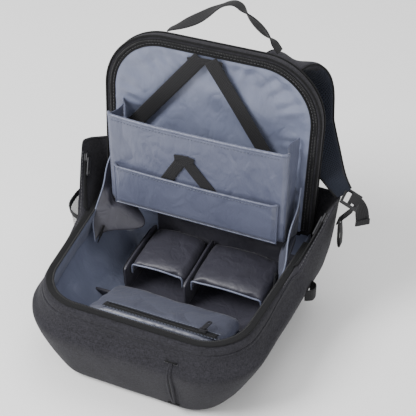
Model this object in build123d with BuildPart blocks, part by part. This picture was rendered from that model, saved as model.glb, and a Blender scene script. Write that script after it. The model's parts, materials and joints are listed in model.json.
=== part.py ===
from build123d import *
import os
from math import atan2, cos, degrees, radians, sin

# Camera backpack lying on its front, back panel swung open.
os.makedirs("parts", exist_ok=True)

# ---- tub: each level is height, top-end and bottom-end half widths, y of both ends, corner radii
floor_level = (0, 108, 137, -143, 120, 42, 30)
belly_level = (80, 152, 172, -160, 134, 72, 42)
rim_level = (118, 138, 158, -138, 131, 62, 30)
shell = 5                 # outer fabric with its foam
floor_thickness = 5
soft_edge = 0.45          # edge radius of padding, as a share of its thickness
top_end_cut = -88         # seams between the side panels and the end panels
bottom_end_cut = 104

# ---- removable padded insert
pad_gap = 0.5
pad = 7
insert_floor = floor_thickness + pad_gap
insert_base = 14          # top of the floor pad
insert_top = 110

# ---- zip tape of the rim and the lid
tape_width = 9
tape = 1.2
tape_gap = 0.2
tape_end = 84

# ---- lid
hinge_y = 94
hinge_z = 120
lid_lean = 7.5
lid_half = 145
lid_length = 236
lid_corner = 65
lid_thickness = 13
binding = 5

# ---- gusset pocket and slip pocket on the lid
pocket_half = 125
pocket_height = 140
pocket_low = 36           # stand-off at the hinge end
pocket_high = 46          # stand-off at the mouth
fabric = 1.5
slip_half = 118
slip_height = 66
slip_gap = 6.5

# ---- webbing
webbing_width = 20
webbing = 1.5

# ---- ears at the far corners of the rim
ear_base_x = 160
ear_tip_x = 182
ear_tip_y = 92
ear_tip_z = 190
ear_thickness = 6
ear_gap = 1               # above the zip tape
ear_start = 24            # y of the ends of its base
ear_back = 130
ear_back_height = 52
ear_corner = 8
ear_tape_inset = 8
ear_tape_middle = 0.52    # shares of the front edge
ear_tape_share = 0.66

# ---- flaps over the dividers
cover_near = 13
cover_far = 88
cover_top = 68
cover_pad = 7
cover_wing = 20
cover_left_span = (-79, 1)
cover_right_span = (10, 115)
flap_span = (-84, 104)
flap_far = (-18, 58)      # y and z of the far edge
flap_near = (-105, 96)    # y and z of the near edge


def save(part, name):
    part.label = name
    export_step(part, f"parts/{name}.step")


# ------------------------------ tub
def tub_outline(level, inset):
    height, near_half, far_half, near_y, far_y, near_radius, far_radius = level
    with BuildSketch(Plane.XY.offset(height)) as outline:
        with BuildLine():
            Polyline(
                (-near_half + inset, near_y + inset),
                (near_half - inset, near_y + inset),
                (far_half - inset, far_y - inset),
                (-far_half + inset, far_y - inset),
                close=True,
            )
        make_face()
        fillet(outline.vertices().group_by(Axis.Y)[0], radius=near_radius - inset)
        fillet(outline.vertices().group_by(Axis.Y)[-1], radius=far_radius - inset)
    return outline.sketch.face()


def tub_hull(inset):
    with BuildPart() as hull:
        loft(sections=[tub_outline(level, inset) for level in (floor_level, belly_level)], ruled=True)
        loft(sections=[tub_outline(level, inset) for level in (belly_level, rim_level)], ruled=True)
    return hull.part


def wall_ring(outer, inner, bottom, top):
    with BuildPart() as ring:
        add(tub_hull(outer))
        add(tub_hull(inner), mode=Mode.SUBTRACT)
        split(bisect_by=Plane.XY.offset(bottom), keep=Keep.TOP)
        split(bisect_by=Plane.XY.offset(top), keep=Keep.BOTTOM)
    return ring.part


def quarter(ring, side):
    """One panel of a ring of walls: near, far, left or right."""
    near_plane = Plane.XZ.offset(-top_end_cut)
    far_plane = Plane.XZ.offset(-bottom_end_cut)
    with BuildPart() as panel:
        add(ring)
        if side == "near":
            split(bisect_by=near_plane, keep=Keep.TOP)
        elif side == "far":
            split(bisect_by=far_plane, keep=Keep.BOTTOM)
        else:
            split(bisect_by=near_plane, keep=Keep.BOTTOM)
            split(bisect_by=far_plane, keep=Keep.TOP)
            split(bisect_by=Plane.YZ, keep=Keep.TOP if side == "right" else Keep.BOTTOM)
    return panel.part


outer_ring = wall_ring(0, shell, floor_thickness, rim_level[0])
for piece, side in (
    ("side_panel_left", "left"),
    ("side_panel_right", "right"),
    ("top_end_panel", "near"),
    ("bottom_end_panel", "far"),
):
    save(quarter(outer_ring, side), piece)

with BuildPart() as front_panel:
    add(tub_hull(0))
    split(bisect_by=Plane.XY.offset(floor_thickness), keep=Keep.BOTTOM)
save(front_panel.part, "front_panel")

insert_ring = wall_ring(shell + pad_gap, shell + pad_gap + pad, insert_base, insert_top)
for piece, side in (
    ("insert_left_pad", "left"),
    ("insert_right_pad", "right"),
    ("insert_top_pad", "near"),
    ("insert_bottom_pad", "far"),
):
    save(quarter(insert_ring, side), piece)

with BuildPart() as insert_floor_pad:
    add(tub_hull(shell + pad_gap))
    split(bisect_by=Plane.XY.offset(insert_floor), keep=Keep.TOP)
    split(bisect_by=Plane.XY.offset(insert_base), keep=Keep.BOTTOM)
save(insert_floor_pad.part, "insert_floor_pad")

# ------------------------------ back strip between hinge and far wall
band_half = 136
band_near = 96
band_far = 118
band_top = 117
band = 3
with BuildPart() as hinge_band:
    with BuildSketch(Plane.XY.offset(band_top - band)):
        with BuildLine():
            Polyline(
                (-band_half, band_near), (band_half, band_near),
                (band_half, band_far), (-band_half, band_far), close=True,
            )
        make_face()
    extrude(amount=band)
save(hinge_band.part, "hinge_band")

back_half = 150
back_strip = 9
back_bottom = (118, 119)
back_top = (136, 168)
with BuildPart() as lower_back_panel:
    with BuildSketch(Plane.YZ.offset(-back_half)):
        with BuildLine():
            Polyline(
                back_bottom, (back_bottom[0] + back_strip, back_bottom[1]),
                (back_top[0] + back_strip, back_top[1]), back_top, close=True,
            )
        make_face()
    extrude(amount=2 * back_half)
    fillet(lower_back_panel.edges().filter_by(Axis.X).group_by(Axis.Z)[-1], radius=back_strip * soft_edge)
save(lower_back_panel.part, "lower_back_panel")

# ears: wings of the side panels that stand up past the end of the zip
ear_lean = Vector(ear_tip_x - ear_base_x, 0, ear_tip_z - rim_level[0] - tape)
ear_height = ear_lean.length


def ear_plane_at(sign):
    """Inner face of an ear: x away from the top end, y up the ear."""
    return Plane(
        origin=(sign * ear_base_x, 0, rim_level[0] + tape + ear_gap),
        x_dir=(0, 1, 0),
        z_dir=(ear_lean.Z, 0, -sign * ear_lean.X),
    )


for side, sign in (("left", -1), ("right", 1)):
    ear_plane = ear_plane_at(sign)
    with BuildPart() as ear:
        with BuildSketch(ear_plane) as ear_shape:
            with BuildLine():
                Polyline(
                    (ear_start, 0), (ear_back, 0),
                    (ear_back, ear_back_height), (ear_tip_y, ear_height), close=True,
                )
            make_face()
            fillet(ear_shape.vertices().group_by(Axis.Z)[-1], radius=ear_corner)
        extrude(amount=sign * ear_thickness)
    save(ear.part, f"ear_{side}")

# zip tape: round the rim from hinge end to hinge end, then up the front edge of each ear
ear_edge = Vector(ear_tip_y - ear_start, ear_height)
ear_edge_angle = degrees(atan2(ear_edge.Y, ear_edge.X))
ear_edge_along = ear_edge.normalized()


def on_ear_edge(share):
    """Point of the ear's inner face, a share of the way up its front edge and in from it."""
    return (
        ear_start + share * ear_edge.X + ear_tape_inset * ear_edge_along.Y,
        share * ear_edge.Y - ear_tape_inset * ear_edge_along.X,
    )


with BuildPart() as tub_zip_tape:
    with BuildSketch(Plane.XY.offset(rim_level[0])):
        add(tub_outline((0,) + rim_level[1:], 0))
        add(tub_outline((0,) + rim_level[1:], tape_width), mode=Mode.SUBTRACT)
    extrude(amount=tape)
    split(bisect_by=Plane.XZ.offset(-tape_end), keep=Keep.TOP)
    for sign in (-1, 1):
        with BuildSketch(ear_plane_at(sign).offset(-sign * tape_gap)):
            with Locations(on_ear_edge(ear_tape_middle)):
                Rectangle(ear_tape_share * ear_edge.length, tape_width, rotation=ear_edge_angle)
        extrude(amount=-sign * tape)
save(tub_zip_tape.part, "tub_zip_tape")

# ------------------------------ things on the outside of the tub
# stretch pocket for a bottle, open at its top, low on the left side
bottle_low = 10
bottle_high = 116
bottle_span = (22, 98)
bottle_low_x = 150
bottle_high_x = 188
bottle_root = 120
bottle_corner = 14
mesh = 2
hem = 8
hem_extra = 1             # how much thicker the hem is than the mesh


def bottle_hull(inset, low, high):
    """Tapered block from inside the tub wall out to the pocket's face."""
    faces = []
    for height in (low, high):
        share = (height - bottle_low) / (bottle_high - bottle_low)
        face_x = bottle_low_x + share * (bottle_high_x - bottle_low_x) - inset
        with BuildSketch(Plane.XY.offset(height)) as outline:
            with BuildLine():
                Polyline(
                    (-face_x, bottle_span[0] + inset), (-bottle_root, bottle_span[0] + inset),
                    (-bottle_root, bottle_span[1] - inset), (-face_x, bottle_span[1] - inset), close=True,
                )
            make_face()
            fillet(outline.vertices().group_by(Axis.X)[0], radius=bottle_corner - inset)
        faces.append(outline.sketch.face())
    with BuildPart() as hull:
        loft(sections=faces, ruled=True)
    return hull.part


wall_side = tub_hull(-pad_gap)
with BuildPart() as bottle_pocket:
    add(bottle_hull(0, bottle_low, bottle_high - hem))
    add(bottle_hull(mesh, bottle_low + mesh, bottle_high), mode=Mode.SUBTRACT)
    add(wall_side, mode=Mode.SUBTRACT)
save(bottle_pocket.part, "bottle_pocket")

with BuildPart() as bottle_pocket_hem:
    add(bottle_hull(0, bottle_high - hem, bottle_high))
    add(
        bottle_hull(mesh + hem_extra, bottle_high - hem - hem_extra, bottle_high + hem_extra),
        mode=Mode.SUBTRACT,
    )
    add(wall_side, mode=Mode.SUBTRACT)
save(bottle_pocket_hem.part, "bottle_pocket_hem")

# webbing loop on the right side, standing off the wall
loop_center = (40, 78)
loop_root = 164
loop_reach = 14
loop_base_half = 11
loop_tip_half = 6
loop_sunk = 6             # how far the inner side is drawn into the wall, which trims it
with BuildPart() as side_loop:
    with BuildSketch(Plane.XY.offset(loop_center[1] - webbing_width / 2)):
        with BuildLine():
            Polyline(
                (loop_root - webbing, loop_center[0] - loop_base_half),
                (loop_root + loop_reach, loop_center[0] - loop_tip_half),
                (loop_root + loop_reach, loop_center[0] + loop_tip_half),
                (loop_root - webbing, loop_center[0] + loop_base_half), close=True,
            )
        make_face()
        with BuildLine():
            Polyline(
                (loop_root - loop_sunk, loop_center[0] - loop_base_half + webbing),
                (loop_root + loop_reach - webbing, loop_center[0] - loop_tip_half + webbing),
                (loop_root + loop_reach - webbing, loop_center[0] + loop_tip_half - webbing),
                (loop_root - loop_sunk, loop_center[0] + loop_base_half - webbing), close=True,
            )
        make_face(mode=Mode.SUBTRACT)
    extrude(amount=webbing_width)
    add(wall_side, mode=Mode.SUBTRACT)
save(side_loop.part, "side_loop")

# slit pocket across the top end, near its right corner: two welt lips and a bar tack at each end
slit_x = 62
slit_low = 22
slit_high = 92
slit_lip = 3
slit_proud = 1.6
bar_tack = (16, 3)
end_wall = (125, 50)      # where the top end's cutters start, and their depth
wall_grown = tub_hull(-pad_gap - slit_proud)
with BuildPart() as slit_pocket_welt:
    for sign in (-1, 1):
        with BuildSketch(Plane.XZ.offset(end_wall[0])):
            with Locations((slit_x + sign * slit_lip, (slit_low + slit_high) / 2)):
                Rectangle(slit_lip, slit_high - slit_low - bar_tack[1])
        extrude(amount=end_wall[1])
    for height in (slit_low, slit_high):
        with BuildSketch(Plane.XZ.offset(end_wall[0])):
            with Locations((slit_x, height)):
                Rectangle(*bar_tack)
        extrude(amount=end_wall[1])
    add(wall_grown, mode=Mode.INTERSECT)
    add(wall_side, mode=Mode.SUBTRACT)
save(slit_pocket_welt.part, "slit_pocket_welt")

# ------------------------------ dividers inside the insert
divider = 6
divider_gap = 5           # from the edge of a cover to the middle of the divider beside it
divider_base = insert_base + pad_gap
divider_top = 60
divider_far = 108
cross_y = -27
low_top = 38
upright_near = 4
inner_space = tub_hull(shell + 2 * pad_gap + pad)
for name, x in (
    ("divider_left", cover_left_span[0] - divider_gap),
    ("divider_center", (cover_left_span[1] + cover_right_span[0]) / 2),
    ("divider_right", cover_right_span[1] + divider_gap),
):
    with BuildPart() as upright:
        with BuildSketch(Plane.XY.offset(divider_base)):
            with Locations((x, (upright_near + divider_far) / 2)):
                Rectangle(divider, divider_far - upright_near)
        extrude(amount=divider_top - divider_base)
        fillet(upright.edges().filter_by(Axis.Y).group_by(Axis.Z)[-1], radius=divider * soft_edge)
        add(inner_space, mode=Mode.INTERSECT)
    save(upright.part, name)

cross_half = 132
with BuildPart() as divider_cross:
    with BuildSketch(Plane.XY.offset(divider_base)):
        with Locations((0, cross_y + divider / 2)):
            Rectangle(2 * cross_half, divider)
    extrude(amount=low_top - divider_base)
    fillet(divider_cross.edges().filter_by(Axis.X).group_by(Axis.Z)[-1], radius=divider * soft_edge)
    add(inner_space, mode=Mode.INTERSECT)
save(divider_cross.part, "divider_cross")

# hook-and-loop strips that hold the outer dividers
velcro = 1.6
velcro_inset = 4
velcro_reach = divider_gap + divider / 2 + velcro / 2 + tape_gap
with BuildPart() as velcro_strips:
    for x in (cover_left_span[0] - velcro_reach, cover_right_span[1] + velcro_reach):
        with BuildSketch(Plane.XY.offset(divider_base + velcro_inset)):
            with Locations((x, (upright_near + divider_far) / 2)):
                Rectangle(velcro, divider_far - upright_near - 2 * velcro_inset)
        extrude(amount=divider_top - divider_base - 2 * velcro_inset)
    add(inner_space, mode=Mode.INTERSECT)
save(velcro_strips.part, "velcro_strips")


# ------------------------------ padded flaps: a top with a wing down each side
def flap_profile(span, wing, thick):
    """Section of a flap, its top face on the x axis."""
    low, high = span
    with BuildSketch() as profile:
        with BuildLine():
            Polyline(
                (low, 0), (high, 0), (high, -wing), (high - thick, -wing), (high - thick, -thick),
                (low + thick, -thick), (low + thick, -wing), (low, -wing), close=True,
            )
        make_face()
        fillet(profile.vertices().group_by(Axis.Y)[-1], radius=thick * soft_edge)
    return profile.sketch


for side, span in (("left", cover_left_span), ("right", cover_right_span)):
    cover_plane = Plane(origin=(0, cover_near, cover_top), x_dir=(1, 0, 0), z_dir=(0, -1, 0))
    with BuildPart() as cover:
        with BuildSketch(cover_plane):
            add(flap_profile(span, cover_wing, cover_pad))
        extrude(amount=cover_near - cover_far)
    save(cover.part, f"cover_{side}")

flap_run = Vector(0, flap_near[0] - flap_far[0], flap_near[1] - flap_far[1])
flap_length = flap_run.length
flap_plane = Plane(origin=(0, flap_far[0], flap_far[1]), x_dir=(1, 0, 0), z_dir=flap_run.normalized())
flap_pad = 8
flap_wing = 19
with BuildPart() as zip_flap:
    with BuildSketch(flap_plane):
        add(flap_profile(flap_span, flap_wing, flap_pad))
    extrude(amount=flap_length)
save(zip_flap.part, "zip_flap")

# zip along the flap's raised edge, its slider at the right-hand end, and its puller
flap_face = Plane(
    origin=(0, flap_near[0], flap_near[1]), x_dir=(1, 0, 0),
    z_dir=(0, flap_run.Z / flap_length, -flap_run.Y / flap_length),
)
flap_zip_span = (-58, 92)
flap_zip_inset = 15
flap_tape = 13
with BuildPart() as flap_zip_tape:
    with BuildSketch(flap_face.offset(tape_gap)):
        with Locations(((flap_zip_span[0] + flap_zip_span[1]) / 2, flap_zip_inset)):
            Rectangle(flap_zip_span[1] - flap_zip_span[0], flap_tape)
    extrude(amount=tape)
save(flap_zip_tape.part, "flap_zip_tape")

slider_x = 76
slider_lift = 0.4         # over the tape
puller_lift = 0.7         # over the slider
slider_size = (11, 8, 3)
slider_corner = 2.5
with BuildPart() as flap_zip_slider:
    with BuildSketch(flap_face.offset(tape_gap + tape + slider_lift)):
        with Locations((slider_x, flap_zip_inset)):
            RectangleRounded(slider_size[0], slider_size[1], slider_corner)
    extrude(amount=slider_size[2])
save(flap_zip_slider.part, "flap_zip_slider")

puller_size = (6, 24, 1.4)
puller_corner = 2.2
puller_slot = (2.6, 7)
puller_slot_inset = 6     # from the puller's free end to the slot's middle
with BuildPart() as flap_zip_puller:
    with BuildSketch(flap_face.offset(tape_gap + tape + slider_lift + slider_size[2] + puller_lift)):
        with Locations((slider_x, flap_zip_inset + puller_size[1] / 2 - puller_lift)):
            RectangleRounded(puller_size[0], puller_size[1], puller_corner)
        with Locations((slider_x, flap_zip_inset + puller_size[1] - puller_slot_inset)):
            RectangleRounded(*puller_slot, 1, mode=Mode.SUBTRACT)
    extrude(amount=puller_size[2])
save(flap_zip_puller.part, "flap_zip_puller")

# ------------------------------ main zip sliders, parked at the tops of the ears
main_slider_share = 0.76
main_slider = (13, 9, 4.5)
main_slider_corner = 3
main_puller = (26, 7, 1.6)
main_puller_slot = (6, 3)
for side, sign in (("left", -1), ("right", 1)):
    ear_plane = ear_plane_at(sign)
    slider_spot = Vector(*on_ear_edge(main_slider_share), -sign * (tape + slider_lift))
    slider_plane = Plane(
        origin=ear_plane.from_local_coords(slider_spot),
        x_dir=ear_plane.from_local_coords(ear_edge_along) - ear_plane.origin,
        z_dir=ear_plane.z_dir * -sign,
    )
    with BuildPart() as slider:
        with BuildSketch(slider_plane):
            RectangleRounded(main_slider[0], main_slider[1], main_slider_corner)
        extrude(amount=main_slider[2])
    save(slider.part, f"main_slider_{side}")
    with BuildPart() as puller:
        with BuildSketch(slider_plane.offset(main_slider[2] + puller_lift)):
            with Locations((puller_lift - main_puller[0] / 2, 0)):
                RectangleRounded(main_puller[0], main_puller[1], puller_corner)
            with Locations((main_puller_slot[0] - main_puller[0], 0)):
                RectangleRounded(*main_puller_slot, 1, mode=Mode.SUBTRACT)
        extrude(amount=main_puller[2])
    save(puller.part, f"main_puller_{side}")

# ------------------------------ lid, drawn on its own plane: x across, y up it, z inward
lean = radians(lid_lean)
lid_plane = Plane(origin=(0, hinge_y, hinge_z), x_dir=(1, 0, 0), z_dir=(0, -cos(lean), sin(lean)))
side_plane = Plane(origin=(0, hinge_y, hinge_z), x_dir=(0, sin(lean), cos(lean)), z_dir=(1, 0, 0))
lid_foot = 2
outer_gap = 2             # from the hinge plane out to the panel
lining_low = 1.8          # back of the lining and of the lid's zip tape
binding_lap = 1           # how far the binding wraps past the panel's faces
binding_gap = 0.2


def lid_outline(grow):
    """Upright rectangle with round top corners; it keeps its bottom edge when it grows."""
    half = lid_half + grow
    top = lid_length + grow
    with BuildSketch() as outline:
        with BuildLine():
            Polyline((-half, lid_foot), (half, lid_foot), (half, top), (-half, top), close=True)
        make_face()
        fillet(outline.vertices().group_by(Axis.Y)[-1], radius=lid_corner + grow)
    return outline.sketch


with BuildPart() as lid_panel:
    with BuildSketch(lid_plane.offset(-lid_thickness - outer_gap)):
        add(lid_outline(0))
    extrude(amount=lid_thickness)
save(lid_panel.part, "lid_panel")

with BuildPart() as lid_lining:
    with BuildSketch(lid_plane.offset(-lining_low)):
        add(lid_outline(-tape_width))
    extrude(amount=fabric)
save(lid_lining.part, "lid_lining")

with BuildPart() as lid_binding:
    with BuildSketch(lid_plane.offset(-lid_thickness - outer_gap - binding_lap)):
        add(lid_outline(binding))
        add(lid_outline(binding_gap), mode=Mode.SUBTRACT)
    extrude(amount=lid_thickness + 2 * binding_lap)
save(lid_binding.part, "lid_binding")

with BuildPart() as lid_zip_tape:
    with BuildSketch(lid_plane.offset(-lining_low)):
        add(lid_outline(0))
        add(lid_outline(-tape_width + 2 * tape_gap), mode=Mode.SUBTRACT)
    extrude(amount=tape)
save(lid_zip_tape.part, "lid_zip_tape")


def lid_side_block(points, half, center=0):
    """Profile in the lid's side view, spread evenly across the lid about a center."""
    with BuildPart() as block:
        with BuildSketch(side_plane.offset(center - half)):
            with BuildLine():
                Polyline(*points, close=True)
            make_face()
        extrude(amount=2 * half)
    return block.part


pocket_slope = (pocket_high - pocket_low) / pocket_height
lining_face = 0.2
seam_gap = 0.1            # between pieces sewn edge to edge
with BuildPart() as pocket_front:
    add(lid_side_block(
        [(lid_foot, pocket_low), (pocket_height, pocket_high),
         (pocket_height, pocket_high + fabric), (lid_foot, pocket_low + fabric)],
        pocket_half,
    ))
save(pocket_front.part, "pocket_front")

with BuildPart() as pocket_gussets:
    for sign in (-1, 1):
        add(lid_side_block(
            [(lid_foot, lining_face), (pocket_height, lining_face),
             (pocket_height, pocket_high - seam_gap), (lid_foot, pocket_low - seam_gap)],
            fabric / 2, sign * (pocket_half - fabric / 2),
        ))
save(pocket_gussets.part, "pocket_gussets")

with BuildPart() as pocket_bottom:
    add(lid_side_block(
        [(lid_foot, lining_face), (lid_foot + fabric, lining_face),
         (lid_foot + fabric, pocket_low - seam_gap), (lid_foot, pocket_low - seam_gap)],
        pocket_half - fabric - seam_gap,
    ))
save(pocket_bottom.part, "pocket_bottom")


def above_front(height, gap):
    """Point in the side view at a height up the pocket front and a gap off its face."""
    return (height, pocket_low + fabric + pocket_slope * (height - lid_foot) + gap)


slip_foot = 4
slip_over = 2             # how far the cut that hollows it runs past its mouth
with BuildPart() as slip_pocket:
    add(lid_side_block(
        [above_front(slip_foot, lining_face), above_front(slip_height, lining_face),
         above_front(slip_height, slip_gap + fabric), above_front(slip_foot, slip_gap + fabric)],
        slip_half,
    ))
    add(
        lid_side_block(
            [above_front(slip_foot + fabric, -slip_over), above_front(slip_height + slip_over, -slip_over),
             above_front(slip_height + slip_over, slip_gap), above_front(slip_foot + fabric, slip_gap)],
            slip_half - fabric,
        ),
        mode=Mode.SUBTRACT,
    )
save(slip_pocket.part, "slip_pocket")


def webbing_run(plane, start, end, width):
    """Flat strip of webbing between two points of a plane."""
    along = Vector(end[0] - start[0], end[1] - start[1])
    middle = ((start[0] + end[0]) / 2, (start[1] + end[1]) / 2)
    with BuildPart() as run:
        with BuildSketch(plane):
            with Locations(middle):
                Rectangle(along.length, width, rotation=degrees(atan2(along.Y, along.X)))
        extrude(amount=webbing)
    return run.part


strap_gap = 0.3
for side, start, end in (
    ("left", (-18, 216), (-112, 102)),
    ("right", (4, 216), (90, 101)),
):
    layer = strap_gap if side == "left" else 2 * strap_gap + webbing
    with BuildPart() as lid_strap:
        add(webbing_run(lid_plane.offset(layer), start, end, webbing_width))
    save(lid_strap.part, f"lid_strap_{side}")

front_plane = Plane(
    origin=lid_plane.from_local_coords(Vector(0, lid_foot, pocket_low + fabric)),
    x_dir=(1, 0, 0),
    z_dir=lid_plane.from_local_coords(Vector(0, -pocket_slope, 1)) - lid_plane.origin,
)
pocket_strap_apex = (-13, 98)
pocket_strap_feet = ((-38, 62), (30, 58))
pocket_strap_width = 16
with BuildPart() as pocket_strap:
    for foot in pocket_strap_feet:
        add(webbing_run(front_plane.offset(strap_gap), foot, pocket_strap_apex, pocket_strap_width))
save(pocket_strap.part, "pocket_strap")

# ------------------------------ fabric wings that hold the lid open
gusset_x = 131
gusset_top = 75           # how far up the lid's edge the wing is sewn
gusset_corner = (15, 82)  # y and z of its free corner inside the tub
gusset_edge = (48, 132)   # and of the bend in its free edge
wing_gap = 4
wing_high = lid_plane.from_local_coords(Vector(0, gusset_top, wing_gap))
wing_low = lid_plane.from_local_coords(Vector(0, wing_gap, wing_gap))
for side, sign in (("left", -1), ("right", 1)):
    with BuildPart() as gusset:
        with BuildSketch(Plane.YZ.offset(sign * gusset_x - fabric / 2)):
            with BuildLine():
                Polyline(
                    gusset_corner, (wing_low.Y, wing_low.Z), (wing_high.Y, wing_high.Z),
                    gusset_edge, close=True,
                )
            make_face()
        extrude(amount=fabric)
    save(gusset.part, f"gusset_{side}")

patch = 1
patch_inset = 1.4
patch_corners = (gusset_corner, (39, 94), (30, 103))
with BuildPart() as gusset_patches:
    for sign in (-1, 1):
        with BuildSketch(Plane.YZ.offset(sign * (gusset_x - patch_inset) - patch / 2)):
            with BuildLine():
                Polyline(*patch_corners, close=True)
            make_face()
        extrude(amount=patch)
save(gusset_patches.part, "gusset_patches")

# ------------------------------ harness on the outside of the lid
back_face = -lid_thickness - outer_gap - strap_gap
yoke_thickness = 18
yoke_inset = 3
yoke_lift = 0.7
yoke_low = 160
yoke_edge = 8
with BuildPart() as yoke:
    with BuildSketch(lid_plane.offset(back_face - yoke_thickness)) as yoke_shape:
        add(lid_outline(-yoke_inset))
        with Locations((0, yoke_low / 2)):
            Rectangle(2 * lid_half, yoke_low, mode=Mode.SUBTRACT)
    extrude(amount=yoke_thickness - yoke_lift)
    fillet(yoke.faces().sort_by(Axis.Y)[-1].edges(), radius=yoke_edge)
save(yoke.part, "yoke")

back_pad = (84, 96, 14)
back_pad_place = (62, 62)  # middle across, and low edge
back_pad_corner = 22
back_pad_edge = 5
with BuildPart() as back_pads:
    for sign in (-1, 1):
        with BuildSketch(lid_plane.offset(back_face - back_pad[2])):
            with Locations((sign * back_pad_place[0], back_pad_place[1] + back_pad[1] / 2)):
                RectangleRounded(back_pad[0], back_pad[1], back_pad_corner)
        extrude(amount=back_pad[2])
    fillet(back_pads.faces().filter_by(GeomType.PLANE).group_by(Axis.Y)[-1].edges(), radius=back_pad_edge)
save(back_pads.part, "back_pads")

# grab handle: an arch of webbing over the yoke
handle_axis = (238, -28)  # up the lid and off its face
handle_foot = 242
handle_width = 18
handle_thickness = 2.4
handle_route = ((-71, handle_foot), (-30, 264), (8, 290), (22, 290), (58, 262), (80, handle_foot))
with BuildPart() as handle:
    with BuildSketch(lid_plane.offset(handle_axis[1] - handle_width / 2)):
        with BuildLine():
            handle_line = FilletPolyline(*handle_route, radius=handle_width / 2)
        trace(handle_line, line_width=handle_thickness)
    extrude(amount=handle_width)
save(handle.part, "handle")


# shoulder straps: padded bands from the yoke down to the ladder locks
strap_thickness = 12
strap_edge = 0.4          # edge radius as a share of the thickness
right_strap = (
    # across, up and off the lid, then the band's width there
    (92, 227, -46, 56), (108, 222, -58, 60), (112, 190, -66, 62), (118, 130, -68, 60),
    (146, 98, -44, 44), (172, 82, -18, 30),
)
left_strap = (
    (-92, 227, -46, 56), (-100, 222, -58, 60), (-104, 190, -66, 62), (-108, 130, -68, 60),
    (-122, 86, -66, 46), (-134, 60, -62, 30),
)
for side, route in (("left", left_strap), ("right", right_strap)):
    centers = [lid_plane.from_local_coords(Vector(*stop[:3])) for stop in route]
    faces = []
    for index, center in enumerate(centers):
        before = centers[max(index - 1, 0)]
        after = centers[min(index + 1, len(centers) - 1)]
        along = (after - before).normalized()
        across = Vector(1, 0, 0) - along * along.X
        with BuildSketch(Plane(origin=center, x_dir=across, z_dir=along)) as section:
            RectangleRounded(route[index][3], strap_thickness, strap_thickness * strap_edge)
        faces.append(section.sketch.face())
    with BuildPart() as shoulder_strap:
        loft(sections=faces, ruled=True)
    save(shoulder_strap.part, f"shoulder_strap_{side}")

# ladder locks, each with the webbing tail that hangs from it
lock_size = (30, 24, 4)
lock_bar = 4
lock_slot = (webbing_width + 2, lock_size[1] / 2 - lock_bar - 1)
lock_slot_place = lock_size[1] / 4 - 0.6
lock_places = (
    ("left", Plane(origin=(-140, 166, 147), x_dir=(1, 0, 0), z_dir=(0, 0.94, 0.34))),
    ("right", Plane(origin=(197, 107, 188), x_dir=(0, 1, 0), z_dir=(0.42, 0, 0.91))),
)
tail_length = 34
for side, lock_plane in lock_places:
    up = 1 if lock_plane.y_dir.Z > 0 else -1
    with BuildPart() as lock:
        with BuildSketch(lock_plane):
            RectangleRounded(lock_size[0], lock_size[1], lock_bar)
            for row in (-1, 1):
                with Locations((0, row * lock_slot_place)):
                    Rectangle(*lock_slot, mode=Mode.SUBTRACT)
        extrude(amount=lock_size[2])
    save(lock.part, f"ladder_lock_{side}")
    tail_start = lock_plane.from_local_coords(Vector(0, -up * (lock_size[1] / 2 + 1), 1))
    tail_plane = Plane(origin=tail_start, x_dir=lock_plane.x_dir, z_dir=lock_plane.z_dir)
    with BuildPart() as tail:
        with BuildSketch(tail_plane):
            with Locations((0, -up * tail_length / 2)):
                Rectangle(webbing_width, tail_length)
        extrude(amount=2 * webbing)
    save(tail.part, f"adjuster_{side}")

# tabs that tie the ladder locks to the bag
tab_points = {
    "left": ((-140, 149, 128), (-140, 163, 133)),
    "right": ((190, 107, 160), (204, 107, 177)),
}
with BuildPart() as anchor_tabs:
    for side, lock_plane in lock_places:
        low, high = (Vector(*point) for point in tab_points[side])
        run = high - low
        tab_normal = run.cross(lock_plane.x_dir).normalized()
        with BuildSketch(Plane(origin=low + run * 0.5, x_dir=lock_plane.x_dir, z_dir=tab_normal)):
            Rectangle(webbing_width, run.length)
        extrude(amount=webbing)
save(anchor_tabs.part, "anchor_tabs")

# short loop of webbing that hangs by the right ear
hanging_place = (190, 86, 146)
hanging_size = (11, 38, 3)
hanging_corner = 5.4
with BuildPart() as hanging_loop:
    with BuildSketch(Plane.YZ.offset(hanging_place[0])):
        with Locations(hanging_place[1:]):
            RectangleRounded(hanging_size[0], hanging_size[1], hanging_corner)
    extrude(amount=hanging_size[2])
save(hanging_loop.part, "hanging_loop")
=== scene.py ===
import json
from math import cos, pi, radians, sin, tan

import bmesh
import bpy
from mathutils import Matrix, Vector, noise


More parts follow.
